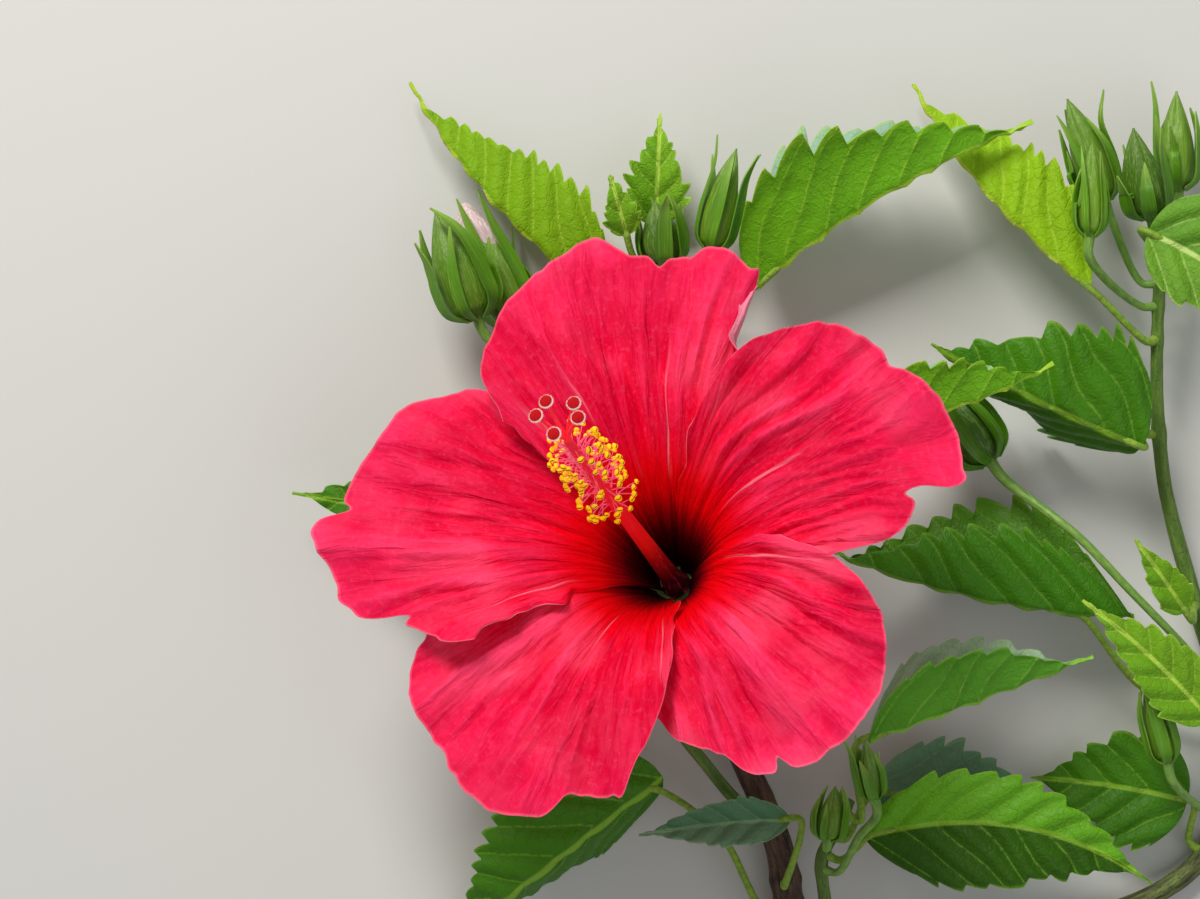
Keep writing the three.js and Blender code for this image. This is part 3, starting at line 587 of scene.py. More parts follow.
# Leaves
# A blade is a row of cross sections along a curved midrib from foot to tip. Each half leaves the midrib at
# its angle, counted about the midrib from its left side up; the fold between them is rounded.
leaves = {
    "leaf_top_left": dict(
        on=("main_stem", 0.905, (-1, 0.4, 0.6)), foot=(0, 31, 12), tip=(-39.5, 76.5, 5),
        bend=(3.5, 6), width=15, halves=(209, 174), look="warm", teeth=17, tail=0.2,
        bite=0.75, shape=0.6),
    "leaf_shoot_tip": dict(
        on=("main_stem", 0.986, (0.2, 0.3, 1)), foot=(11.5, 47, 6), tip=(12.5, 69.5, 10),
        bend=(0, 3), width=6, halves=(15, 160), look="young", teeth=8, tail=0.15, bite=1.5),
    "leaf_shoot_small": dict(
        on=("main_stem", 0.935, (-0.7, 0, 1)), foot=(5.5, 44, 17), tip=(2, 56, 21),
        bend=(0, 1), width=3.5, halves=(20, 160), look="young", teeth=6, bite=1.5),
    "leaf_top_right": dict(
        on=("main_stem", 0.905, (1, 0.2, 0.5)), foot=(32.5, 34, 14), tip=(88, 66.5, 23),
        bend=(2.5, 5), width=17.5, halves=(-22, 12), look="bright", teeth=11, tail=0.14,
        share=(1.16, 1), bite=1.2),
    "leaf_behind_left": dict(
        on=("main_stem", 0.72, (-1, 0, 0.4)), foot=(-2, -18.5, 13), tip=(-63.5, -9, 10),
        bend=(0, 6), width=16, halves=(10, 165), look="plain", teeth=11),
    "leaf_behind_right": dict(
        on=("main_stem", 0.775, (1, 0.1, 0.8)), foot=(54.5, 5, 27), tip=(91, 17.2, 32),
        bend=(-2, 3), width=11, halves=(-18, 12), look="bright", teeth=9, tail=0.12),
    "leaf_right_upper": dict(
        on=("right_branch_upper", 0.83, (-1, 0, 1)), foot=(100, 33, 20), tip=(65.5, 76, 6),
        bend=(4, 5), width=14, halves=(214, 174), look="glow", teeth=12, tail=0.16, bite=0.7, shape=0.75),
    "leaf_right_edge": dict(
        on=("right_branch_upper", 0.97, (0.2, 0.4, 1)), foot=(110, 43.5, 31), tip=(135, 22, 27),
        bend=(3, 3), width=13, halves=(12, 168), look="netted", teeth=9, tail=0.08,
        bite=0.5, share=(1, 0.8)),
    "leaf_right_middle": dict(
        on=("right_branch_upper", 0.66, (-1, -0.3, 0.3)), foot=(110.5, 0.5, 22), tip=(67.5, 21.5, 21),
        bend=(1, 2), width=19, halves=(-78, 172), look="plain", teeth=10, bite=1.05),
    "leaf_right_lower": dict(
        on=("right_branch_upper", 0.13, (-1, 0.5, 0.6)), foot=(109.5, -34.5, 17), tip=(47.5, -21, 14),
        bend=(3, 2), width=18, halves=(205, 175), look="dark", teeth=13, share=(1.3, 0.84),
        bite=0.9, shape=0.95, joint=0.22, via=((112, -49, 9),)),
    "leaf_lower_right": dict(
        on=("green_shoot", 0.93, (1, 0.5, 0.2)), foot=(54, -58.5, 29), tip=(99, -41.5, 31),
        bend=(0, 3), width=13, halves=(-12, 24), look="whitish_sheen", teeth=11, tail=0.16,
        share=(1.12, 1), bite=0.6, shape=0.85),
    "leaf_bottom_right": dict(
        on=("green_shoot", 0.7, (1, 0, 0.2)), foot=(54, -79, 21), tip=(112.5, -88.5, 21),
        bend=(7.5, 4), width=12.5, halves=(8, 172), look="halved", teeth=12,
        share=(0.84, 1.1), bite=0.8, shape=0.65),
    "leaf_bottom_dark": dict(
        on=("green_shoot", 0.8, (1, 0.3, -0.4)), foot=(57, -71, 13), tip=(97, -77, 6),
        bend=(2, 2), width=11, halves=(8, 172), look="blue_sheen", teeth=9),
    "leaf_bottom_left": dict(
        on=("main_stem", 0.22, (-1, 0.2, 0.3)), foot=(13, -67.5, 15), tip=(-30.5, -103, 0.6),
        bend=(-1, 9), width=18, halves=(-68, 176), look="plain", teeth=14, tail=0.06,
        bite=0.8, via=((25, -80, 8),)),
    "leaf_bottom_narrow": dict(
        on=("main_stem", 0.25, (-0.2, 0.6, 1)), foot=(39, -76, 17), tip=(8, -79, 18),
        bend=(-1, 3), width=6, halves=(50, 145), look="blue_sheen", teeth=9, tail=0.12, bite=0.5, shape=0.7),
    "leaf_far_right": dict(
        on=("right_branch_upper", 0.08, (-0.4, 0, 1)), foot=(124, -55, 22), tip=(97.5, -30.5, 27),
        bend=(-1, 2), width=7, halves=(15, 165), look="young", teeth=9, tail=0.12),
    "leaf_far_small": dict(
        on=("right_branch_upper", 0.34, (-0.4, 0.3, 1)), foot=(119.5, -33, 20), tip=(108, -18, 27),
        bend=(0, 1), width=4, halves=(20, 160), look="young", teeth=6),
    "leaf_low_right": dict(
        on=("right_branch_lower", 0.86, (-1, 0.5, 0.2)), foot=(122, -73, 8), tip=(90, -68.5, 4),
        bend=(-1, 2), width=12, halves=(5, 175), look="plain", teeth=8),
}

# colours: left half and right half of the upper face, the under face, the veins, and how rough the skin is.
# The face colours hold painted light: the bright yellow-greens of the first two looks are painted backlight,
# the halved look has one half lit and the other in painted shade, the pale bluish left halves are painted
# reflection, and the bluish look is dark green with painted sheen
looks = {
    "glow": ("#86b60a", "#8cba10", "#8cba10", "#bcd640", 0.55),
    "warm": ("#74a206", "#78a60a", "#8cba10", "#b0cc38", 0.55),
    "bright": ("#8fb39a", "#5c9e06", "#62a00e", "#a6cc3a", 0.5),
    "young": ("#6aa018", "#74a81c", "#8abc2e", "#b4d450", 0.48),
    "plain": ("#3a7004", "#3f7806", "#60941c", "#86b232", 0.4),
    "netted": ("#609426", "#6a9c2a", "#6aa02e", "#c2dc80", 0.48),
    "dark": ("#5d8270", "#3a7406", "#4c8016", "#74a02c", 0.36),
    "whitish_sheen": ("#a4c4a0", "#549a1c", "#549620", "#90c048", 0.42),
    "halved": ("#5fa016", "#2e5a00", "#47801c", "#82ae2e", 0.36),
    "blue_sheen": ("#6a8f6c", "#547c58", "#5c8560", "#84a87c", 0.36),
}

blade = {
    "columns": 41, "rows": 181, "thick": 0.4, "fold": 1.3, "tooth": 0.17, "forward": 0.09, "veinGap": 7.0,
    "narrowest": 0.45, "wave": 16, "cup": 12}


# lay is (across from the midrib, distance along it, seed), tone is (face, share of the half's width, 1 on
# the stalk)
def leafMaterial(name, leftTop, rightTop, under, veins, rough):
    wire = newMaterial("leaf_" + name)
    across, run, seed = wire.read("lay")
    face, share, stalky = wire.read("tone")
    away = across.only("ABSOLUTE")
    broad = wire.noise(across * 0.12, run * 0.12, seed, 2.0, 0.5)
    fine = wire.noise(across * 0.9, run * 0.9, seed)
    flow = (run - away * 1.05 - away * away * 0.012 + (fine - 0.5) * 0.8) / blade["veinGap"]
    sideVein = 1.0 - (flow.nearest() * blade["veinGap"]).rise(0.06, 0.42)
    midVein = 1.0 - away.rise(0.25, 0.7)
    net = 1.0 - wire.cells(across * 0.5 + fine, run * 0.5 + broad * 2.0, seed).rise(0.01, 0.1)
    fineNet = 1.0 - wire.cells(across * 1.3 + fine, run * 1.3, seed + 3.0).rise(0.02, 0.2)
    puff = (flow.nearest() * 2.0).rise(0.1, 0.9)
    # the halves of the upper face differ by painted light: one half lit and the other in painted shade, or a
    # pale painted reflection on the left half
    top = wire.blend(rightTop, across.rise(-0.4, 0.4), leftTop)
    colour = wire.blend(under, face.rise(-0.3, 0.3), top)
    # painted light on the puckered skin: lighter on the raised puffs between the side veins, and painted
    # shade along the net of creases; the broad darker patches vary at random
    colour = colour.shaded(broad.rise(0.3, 0.7) * 0.3, 0.72).shaded(puff * 0.3, 1.2)
    colour = colour.shaded(net * broad.rise(0.4, 0.65) * 0.3 + fineNet * 0.06, 0.6)
    colour = colour.coats(
        (sideVein * fine.rise(0.3, 0.6) * 0.4, veins), (midVein * 0.8, veins),
        (share.rise(0.95, 1.0) * 0.45, veins),
        (stalky.rise(0.3, 0.7), wire.blend("#8aa83e", fine.rise(0.35, 0.7), "#6c9130")))
    height = puff * 0.5 - net * 0.12 * face + fine * 0.4 - fineNet * 0.08
    return finish(wire, colour, rough + fine * 0.15, height, 0.0005, 0.06, Specular_IOR_Level=0.22)


leafFinish = {name: leafMaterial(name, *look) for name, look in looks.items()}


# a leaf's midrib, an arch from foot to tip: its place at v, and the directions ahead, left and up there
def bladeFrame(leaf, v):
    foot, tip = np.array(leaf["foot"], float), np.array(leaf["tip"], float)
    run = unit(tip - foot)
    left = unit(np.cross((0, 0, 1), run))
    up = np.cross(run, left)
    middle = (foot + tip) / 2 + left * 2 * leaf["bend"][0] + up * 2 * leaf["bend"][1]
    v = np.asarray(v, float)[..., None]
    ahead = unit((1 - v) * (middle - foot) + v * (tip - middle))
    left = unit(np.cross(up, ahead))
    return arch(foot, middle, tip, v), ahead, left, np.cross(ahead, left)


# Half width: v^shape (1 - v)^1.2 scaled to 1 at its widest, and a narrow tail at the tip. Teeth lean forward:
# the margin swells to each tooth and drops behind it. The angle of the surface turns from the right half's to
# the left half's across the fold, and the places are the running sum of its steps.
def bladeSurface(leaf, seed):
    columns, rows = blade["columns"], blade["rows"]
    u, v = np.meshgrid(np.linspace(-1, 1, columns), np.linspace(0, 1, rows))
    hand, away = np.sign(u), np.abs(u) ** 0.9
    place, ahead, left, up = bladeFrame(leaf, v[:, 0])
    run = lengths(place)[:, None]
    width = leaf["width"]
    body = np.clip(v / (1 - leaf.get("tail", 0.1) * 0.5), 0, 1)
    shape = leaf.get("shape", 0.5)
    peak = shape / (shape + 1.2)
    outline = body**shape * (1 - body) ** 1.2 / (peak**shape * (1 - peak) ** 1.2)
    tail = (0.4 + width * 0.06) * ramp(0.5, 0.8, v) * (1 - v) ** 0.5
    half = np.maximum(np.hypot(width * outline, tail), blade["narrowest"] * (1 - 0.4 * ramp(0.95, 1, v)))
    half = half * np.where(u > 0, *leaf.get("share", (1, 1)))
    beat = leaf["teeth"] * (v + 0.07 * lumps(v * 5, hand, seed)) + 0.3 * hand
    tall = 1 + 0.7 * lumps(np.floor(beat) * 3.7, hand, seed + 4)
    beat = beat - np.floor(beat)
    tooth = np.where(beat < 0.76, np.sin(beat / 0.76 * np.pi / 2) ** 0.9, (1 - beat) / 0.24)
    tooth = tooth * tall * leaf.get("bite", 1) * ramp(0.06, 0.25, v) * (1 - ramp(0.93, 1, v))
    margin = half**0.6 * width**0.4 * away**7
    x = hand * away * (half + (tooth - 0.5) * blade["tooth"] * margin)

    right = leaf["halves"][1] - 180
    fold = (leaf["halves"][0] - right + 180) % 360 - 180
    slant = (right + fold * ramp(-blade["fold"], blade["fold"], x)) * turn
    wave = blade["wave"] * lumps(v * 6 + 3, hand * 2, seed + 1)
    slant = slant - (blade["cup"] - wave) * turn * away**2 * hand
    tilted = (slant[:, 1:] + slant[:, :-1]) / 2
    steps = np.stack([np.cos(tilted), np.sin(tilted)]) * np.diff(x, axis=1)
    places = np.concatenate([np.zeros((2, rows, 1)), np.cumsum(steps, axis=2)], axis=2)
    sideways, upward = (places - places[:, :, columns // 2, None])[..., None]
    forward = (tooth * blade["forward"] * margin)[..., None]
    left, up, slant = left[:, None], up[:, None], slant[..., None]
    points = settle(place[:, None] + sideways * left + upward * up + forward * ahead[:, None])
    normal = np.cos(slant) * up - np.sin(slant) * left

    grain = blade["veinGap"] / (5 + width * 0.22)
    inkX, inkRun = x * grain, run * grain + 1.6 * lumps(run / 9, hand * 3, seed + 6)
    flow = (inkRun - np.abs(inkX) * 1.05 - inkX**2 * 0.012) / blade["veinGap"]
    near = np.abs(flow - np.round(flow)) * blade["veinGap"]
    inside = 1 - ramp(0.85, 1, away)
    vein = bell(near / 0.5) * inside
    quilt = (ramp(0.3, 3, near) * 0.5 + 0.18 * lumps(inkX * 0.3, inkRun * 0.3, seed)
             + 0.06 * lumps(inkX * 0.9, inkRun * 0.9, seed + 5)) * inside * min(1, width / 14)
    rib = bell(x / 0.5) * (1 - 0.7 * v)
    front = points + normal * (blade["thick"] / 2 + quilt - 0.15 * vein - 0.2 * rib)[..., None]
    back = points - normal * (blade["thick"] / 2 - quilt + 0.22 * vein + 0.6 * rib)[..., None]
    return sheet(front, back, vec(inkX, inkRun, seed * 10.37), vec(0, away, 0))


for seed, (name, leaf) in enumerate(leaves.items(), 11):
    place, ahead, _, _ = bladeFrame(leaf, leaf.get("joint", 0.1))
    path = stalkPath(leaf, place, ahead, 3 if "via" in leaf else math.inf, 0)
    radius = 0.8 - 0.15 * stalkShare + 0.45 * np.exp(-stalkShare * 22) + 0.2 * np.exp((stalkShare - 1) * 8)
    stalkSurface = tube(path, radius * (1 - 0.7 * ramp(0.93, 1, stalkShare)), 14, (0, 0, 1), seed)
    assemble(name, [bladeSurface(leaf, seed), stalkSurface], leafFinish[leaf["look"]],
             "young_leaf_green" if leaf["look"] == "young" else "leaf_green", name, crease=60)
print("leaves made")


# Buds
# tone is (0 body, 1 bract, 2 stalk, 3 furled petals; rise; how dark)
buds = {
    "bud_top_middle": dict(
        on=("main_stem", 0.972, (0.4, 0.2, 1)), foot=(13.5, 38.5, 13), tip=(11.5, 51, 16),
        radius=4, dark=0.7),
    "bud_top_right": dict(
        on=("main_stem", 0.944, (1, 0.1, 0.9)), foot=(23, 41, 12), tip=(28, 62, 14),
        radius=3.5, dark=0.15),
    "bud_left_front": dict(
        on=("main_stem", 0.852, (-1, 0, 0.9)), foot=(-25, 27, 17), tip=(-34, 48.5, 19),
        radius=5.2, dark=0.35, via=((-14, 18, 14),)),
    "bud_left_back": dict(
        on=("main_stem", 0.824, (-1, 0, 0.2)), foot=(-16.5, 26, 6.5), tip=(-28, 50, 7),
        radius=5, dark=0.25, furled=1),
    "bud_right_cluster_left": dict(
        on=("right_branch_upper", 0.93, (-1, 0.2, -0.2)), foot=(104, 51, 14), tip=(96, 72, 16),
        radius=4, dark=0.3),
    "bud_right_cluster_slim": dict(
        on=("right_branch_upper", 0.89, (-1, 0.3, 0.4)), foot=(99, 43, 27), tip=(99.5, 62, 29),
        radius=2.8, dark=0),
    "bud_right_cluster_middle": dict(
        on=("right_branch_upper", 0.99, (-0.2, 0.3, 0.8)), foot=(112, 47, 23), tip=(108, 65, 27),
        radius=4.2, dark=0.75),
    "bud_right_cluster_edge": dict(
        on=("right_branch_upper", 0.96, (1, 0.3, 0)), foot=(119.5, 53.5, 12), tip=(119, 74, 12),
        radius=3.6, dark=0.1),
    "bud_right_large": dict(
        on=("right_branch_upper", 0.2, (-0.6, 0.6, 0.9)), foot=(80.5, -2.5, 14), tip=(67.5, 15.5, 12),
        radius=5.2, dark=0.85, via=((120, -41, 20), (107.5, -28.5, 24), (97, -17.5, 22.5))),
    "bud_lower_slim": dict(
        on=("green_shoot", 0.62, (1, 0.2, 0.8)), foot=(55, -70, 31), tip=(52.5, -58, 36),
        radius=2.3, dark=0.4, via=((52.5, -78, 27),)),
    "bud_lower_wide": dict(
        on=("green_shoot", 0.9, (-0.3, 0.3, 1)), foot=(46.2, -79, 25), tip=(47.5, -68, 27.5),
        radius=2.8, dark=0.3),
    "bud_far_right": dict(
        on=("right_branch_lower", 0.94, (-1, 0, 1)), foot=(116, -64, 19), tip=(111.5, -47.5, 20),
        radius=2.8, dark=0.3),
}


def budMaterial():
    wire = newMaterial("bud")
    x, y, run = wire.read("lay")
    kind, rise, dark = wire.read("tone")
    fine = wire.noise(x * 1.2, y * 1.2, run * 0.5)
    lines = wire.noise(x * 2.6, y * 2.6, run * 0.12)
    body = wire.blend("#68941a", dark, "#2a540c").coats(
        (rise.rise(0.5, 1.0) * 0.3, "#80a04c"), (lines.rise(0.45, 0.72) * 0.36, "#a0bc60"))
    bract = wire.blend("#5a900e", dark * 0.6, "#2c5a0c").coats(
        (rise.rise(0.55, 1.0) * 0.5 + lines.rise(0.5, 0.75) * 0.35, "#a4c658"))
    colour = body.coats(
        (kind.rise(0.4, 0.6), bract),
        (kind.rise(1.4, 1.6), wire.blend("#7ea446", fine.rise(0.3, 0.7), "#5d8a36")),
        (kind.rise(2.4, 2.6), wire.blend("#c9a3ad", lines.rise(0.35, 0.65), "#e3d3cf")),
        (fine.rise(0.6, 0.85) * 0.3, "#9fbc7c"))
    return finish(wire, colour, 0.34 + fine * 0.16, lines * 0.6 + fine * 0.4, 0.0003, 0.03,
                  Specular_IOR_Level=0.4)


# A strip along its spine, as wide to each side as wide says. Across it w runs from -1 to 1, and the strip
# rises by cup times the width times |w|^1.5.
def bractSurface(spine, rim, wide, columns, cup, half, place, dark):
    w, wide = np.linspace(-1, 1, columns), wide[:, None]
    skin = unit(np.cross(rim, unit(np.gradient(spine, axis=0))))[:, None]
    rise = cup * wide * np.abs(w) ** 1.5
    grid = settle(spine[:, None] + rim * (wide * w)[..., None] + skin * rise[..., None])
    tone = vec(0 * w, np.linspace(0, 1, len(spine))[:, None], dark)
    surface = sheet(grid + skin * half, grid - skin * half, vec(wide * w, *place), tone)
    surface[3][:, 0] = 1
    return surface


budForm = {
    "rings": 44, "sides": 40, "bracts": 6, "bractRows": 26, "bractColumns": 7, "cup": 0.28, "half": 0.16}


# Body: the radius is its fullest times sin(pi (0.1 + 0.9 t)^0.75)^0.85, drawn to a beak, with five keeled
# lobes whose seams open towards the tip. Bracts: narrow lances round the foot, rising along the body, leaning
# out at their tips and swaying sideways.
def budSurfaces(bud, seed):
    foot, tip = np.array(bud["foot"], float), np.array(bud["tip"], float)
    axis, height = unit(tip - foot), np.linalg.norm(tip - foot)
    side = unit(np.cross((0, 0, 1), axis))
    up = np.cross(axis, side)
    full, dark = bud["radius"], bud["dark"]
    sides, bracts = budForm["sides"], budForm["bracts"]
    t, angle = np.linspace(0, 1, budForm["rings"])[:, None], np.linspace(0, circle, sides, endpoint=False)
    swell = full * np.sin(np.pi * (0.1 + 0.9 * t) ** 0.75) ** 0.85
    swell = np.maximum(swell, 0.22) * (0.25 + 0.75 * ramp(-0.02, 0.1, t))
    lobe = (angle * 5 / circle) % 1
    seam = bell(np.minimum(lobe, 1 - lobe) / 0.1)
    ring = 1 + 0.05 * bell((lobe - 0.5) / 0.12) - seam * (0.03 + 0.2 * ramp(0.35, 0.95, t))
    ring = ring + 0.03 * lumps(angle * 2, t * 4, seed)
    path = foot + axis * height * t + side * 0.3 * np.sin(t * 3 + seed)
    parts = [tube(path, swell * ring, sides, (0, 0, dark), seed)]
    if "furled" in bud:
        s = np.linspace(0, 1, 30)[:, None]
        twist = np.sin(np.pi * (0.35 + 0.63 * s)) ** 0.7 * (1 + 0.16 * np.cos(3 * angle + 5 * s))
        path = foot + axis * height * (0.55 + 0.5 * s)
        parts.append(tube(path, full * 0.78 * twist, sides, (3, 0, 0), seed))
    s = np.linspace(0, 1, budForm["bractRows"])
    for k in range(bracts):
        size, stretch, flare, sway = (lumps(k * step, seed, salt)
                                      for step, salt in ((3.7, 5), (5.1, 7), (2.3, 9), (4.3, 15)))
        around = circle * (k + 0.3 + 0.2 * size) / bracts
        out = side * math.cos(around) + up * math.sin(around)
        rim = np.cross(axis, out)
        reach = 0.8 + 0.3 * stretch
        line = [(0.0, 0.35), (0.12, 1.04), (0.35, 1.18), (reach - 0.2, 1.08 + 0.1 * size),
                (reach + 0.05, 1.1 + 0.8 * flare)]
        spine = course([foot + axis * a * height + out * b * full for a, b in line], len(s))
        spine = spine + rim * (0.9 * full * sway * s**2)[:, None]
        wide = (0.36 * full + 0.25) * (1 + 0.4 * size) * (1 - 0.35 * s)
        wide = wide * np.sin(np.pi * (0.1 + 0.88 * s)) ** 0.8
        parts.append(bractSurface(spine, rim, wide, budForm["bractColumns"], budForm["cup"], budForm["half"],
                                  (seed * seedStep + k * 3.0, (s * height)[:, None]), dark))
    radius = 0.75 + 0.2 * stalkShare + 0.4 * np.exp(-stalkShare * 22) + 0.35 * np.exp((stalkShare - 1) * 10)
    parts.append(tube(stalkPath(bud, foot, axis, 4, 1), radius, 16, (2, 0, 0), seed))
    return parts


budFinish = budMaterial()
for seed, (name, bud) in enumerate(buds.items(), 31):
    assemble(name, budSurfaces(bud, seed), budFinish, "bud_green", name, crease=55)
print("buds made")


def stemMaterial():
    wire = newMaterial("stem")
    x, y, run = wire.read("lay")
    green, _, cut = wire.read("tone")
    fine = wire.noise(x * 1.1, y * 1.1, run * 0.35, 4.0, 0.65)
    bark = wire.noise(x * 0.9, y * 0.9, run * 0.14, 4.0, 0.7)
    spots = wire.noise(x * 2.2, y * 2.2, run * 1.4, 2.0, 0.5)
    brown = wire.blend("#3a2a26", bark.rise(0.35, 0.7), "#6e5546").coats(
        (fine.rise(0.5, 0.8) * 0.5, "#8a7360"))
    leafy = wire.blend("#4c6c24", bark.rise(0.35, 0.7), "#6d8c38").coats(
        (fine.rise(0.5, 0.75) * 0.5 * (1.0 - green), "#7a5c3a"), (spots.rise(0.62, 0.75) * 0.5, "#97a868"))
    woody = (green + (bark - 0.5) * 0.9).rise(0.25, 0.75)
    ringed = (x * x + y * y).only("SQRT")
    wood = wire.blend("#cdbb8e", (ringed * 1.6).nearest().rise(0.1, 0.4) * 0.4, "#a88f63").coats(
        (1.0 - ringed.rise(0.5, 0.9), "#e6dfc8"), (ringed.rise(2.85, 3.1), "#5d6a35"))
    colour = brown.coats(
        (woody, leafy), (spots.rise(0.66, 0.74) * (1.0 - woody) * 0.7, "#a08b74"), (cut.rise(0.4, 0.6), wood))
    height = bark * 0.7 + fine * 0.5 + spots.rise(0.6, 0.72) * 0.5
    return finish(wire, colour, 0.72 - woody * 0.25, height, 0.0005, Specular_IOR_Level=0.35)


# A stem's radius falls evenly, swells at every seat by 16%, and carries low ridges that run along it.
# The main stem turns green along its length, and a cap with the wood's rings closes its cut end.
stemFinish = stemMaterial()
for name, stem in stems.items():
    path, sides, green = stem["path"], stem["sides"], stem["green"]
    t = np.linspace(0, 1, len(path))[:, None]
    run = t * lengths(path)[-1]
    radius = between(stem["radius"], t)
    for share in stem["seats"]:
        radius = radius * (1 + 0.16 * bell((run - share * run[-1]) / 1.8))
    angle = np.linspace(0, circle, sides, endpoint=False)
    rough = 0.05 * lumps(np.cos(angle) * 3, run / 5, 3) + 0.03 * lumps(np.sin(angle) * 5, run / 2.5, 4)
    surfaces = [tube(path, radius * (1 + rough * (1 - 0.6 * green)), sides, (green, 0, 0), 2)]
    if name == "main_stem":
        points, faces, lay, tone = surfaces[0]
        tone[:, 0] = tone[:, 1] ** 1.5 * 1.3 - 0.15
        faces.pop(1)
        index = np.arange(sides)
        face = np.vstack([points[:sides], points[:sides].mean(axis=0)]) + (0, -0.01, 0)
        faceLay = np.vstack([lay[:sides] - (0, 2 * seedStep, 0), (0, 0, 0)])
        surfaces.append((face, [vec(sides, np.roll(index, -1), index)], faceLay, 0 * face + (0, 0, 1)))
    assemble(name, surfaces, stemFinish, "bark_brown" if name == "main_stem" else "stem_green", name)
print("stems made")


# Calyx: a cup outside the funnel with five pointed lobes, its receptacle below and narrow bracts round it.
calyx = {
    "foot": -0.8, "lobe": (12, 21), "clear": 1.9, "thick": 0.6, "columns": 160, "rows": 40, "bracts": 7,
    "bractWidth": 1.25, "cup": 0.35, "half": 0.25}


def calyxMaterial():
    wire = newMaterial("calyx")
    around, run, _ = wire.read("lay")
    _, rise, _ = wire.read("tone")
    lines = wire.noise(around * 1.4, run * 0.1, 0.0)
    fine = wire.noise(around * 1.5, run * 1.5, 3.0)
    colour = wire.blend("#5f8f3c", lines.rise(0.35, 0.7), "#86ad58").coats(
        (rise.rise(0.6, 1.0) * 0.4, "#a4c079"), (fine.rise(0.55, 0.8) * 0.3, "#b2c795"))
    return finish(wire, colour, 0.5 + fine * 0.15, lines * 0.6 + fine * 0.4, 0.0004, 0.03,
                  Sheen_Weight=0.2, Sheen_Roughness=0.4, Specular_IOR_Level=0.35)


# The cup follows the funnel 1.9 mm outside it: r = 3.6 - 10 ln(1 - height / 40), up to 12 mm high between
# the lobes and 21 mm at their tips, with a rib up the middle of each lobe.
def cupSurface():
    u, v = np.meshgrid(np.linspace(0, 1, calyx["columns"] + 1), np.linspace(0, 1, calyx["rows"]))
    angle = circle * u
    lobe = np.abs(np.cos(2.5 * angle)) ** 1.5
    height = between((calyx["foot"], between(calyx["lobe"], lobe)), v)
    r = funnel["radius"] - funnel["spread"] * np.log(1 - np.maximum(0, height) / funnel["depth"])
    out = unit(polar(funnelSlope(r), angle, -1))
    inner = polar(r, angle, height) + out * calyx["clear"]
    rib = 0.35 * bell((1 - lobe) / 0.05) * (1 - v * 0.6) + 0.1 * lumps(u * 40, v * 3, 2)
    outer = inner + out * (calyx["thick"] * (1.15 - 0.7 * v) + rib)[..., None]
    return sheet(toBloom(outer), toBloom(inner), vec(angle * 10, height, 0), vec(0, v, 0))


# The receptacle: a turned form under the cup, its radius read from a short list up its height.
def receptacleSurface():
    t = np.linspace(0, 1, 30)
    radius = np.interp(t, (0, 0.12, 0.4, 0.75, 1), (1.3, 2.6, 4.3, 5.6, 5.9))
    points, faces, lay, marks = tube(vec(0, 0, 5.2 * t - 6), radius, 48, (0, 0, 0), 1)
    return toBloom(points), faces, lay, marks


# A bract of the epicalyx: it leaves the receptacle's foot outwards and turns up beside the cup. It is
# 1.25 sin(pi (0.15 + 0.84 t))^0.8 mm wide to each side.
def epicalyxSurface(k):
    out = polar(1, circle * (k + 0.5) / calyx["bracts"], 0)
    line = [out * r + (0, 0, height)
            for r, height in ((2, -4.6), (8, -2), (11, 4), (14 + math.sin(k * 2.3), 10.5))]
    t = np.linspace(0, 1, 30)
    wide = calyx["bractWidth"] * np.sin(np.pi * (0.15 + 0.84 * t)) ** 0.8
    rim = np.cross((0, 0, 1), out) @ bloomTurn.T
    spine = toBloom(course(line, len(t)))
    return bractSurface(spine, rim, wide, 9, calyx["cup"], calyx["half"], ((t * 18)[:, None], 0), 0)


assemble("calyx", [cupSurface(), receptacleSurface(), *map(epicalyxSurface, range(calyx["bracts"]))],
         calyxMaterial(), "bud_green", "calyx")
print("calyx made")


# Column: a tapering red tube that leans from the bloom's axis, with stamens spiralling round its upper half
# and five styles at its top. All its pieces stand for the one solid.
column = {
    "length": 66, "lean": 13.2, "toward": 133, "radius": (1.95, 0.85), "sides": 32, "stamens": 124,
    "zone": (0.56, 0.965), "reach": 6.7, "filament": (0.12, 0.08), "anther": 0.68, "style": (0.5, 0.32)}
columnAxis = leanAxis(column["lean"], column["toward"])
columnSide = unit(np.cross((0, 0, 1), columnAxis))
columnFront = np.cross(columnAxis, columnSide)


# the place on the column's axis at a share of its length
def onColumn(share):
    return share * column["length"] * columnAxis


def columnMaterial():
    wire = newMaterial("column")
    x, y, run = wire.read("lay")
    _, rise, _ = wire.read("tone")
    fine = wire.noise(x * 1.6, y * 1.6, run * 0.25)
    colour = rise.scale([(0.0, "#1c0004"), (1.0, "#e42444"), (0.08, "#48000a"), (0.19, "#a4040a"),
                         (0.32, "#e61612"), (0.6, "#e81828")]).coats((fine.rise(0.5, 0.8) * 0.35, "#ea4658"))
    return finish(wire, colour, 0.42 + fine * 0.15, fine, 0.0003, 0.22, Specular_IOR_Level=0.4)


# two colours in fine patches, and a third where the tone's first number is 1
def tintedMaterial(name, codes, rough, depth, grain, glow=0.2, **fixed):
    wire = newMaterial(name)
    x, y, run = wire.read("lay")
    fine = wire.noise(x * grain, y * grain, run * grain)
    colour = wire.blend(codes[0], fine.rise(0.35, 0.7), codes[1])
    colour = colour.coats((wire.read("tone")[0].rise(0.35, 0.75), codes[2]))
    return finish(wire, colour, rough, fine, depth, glow, **fixed)


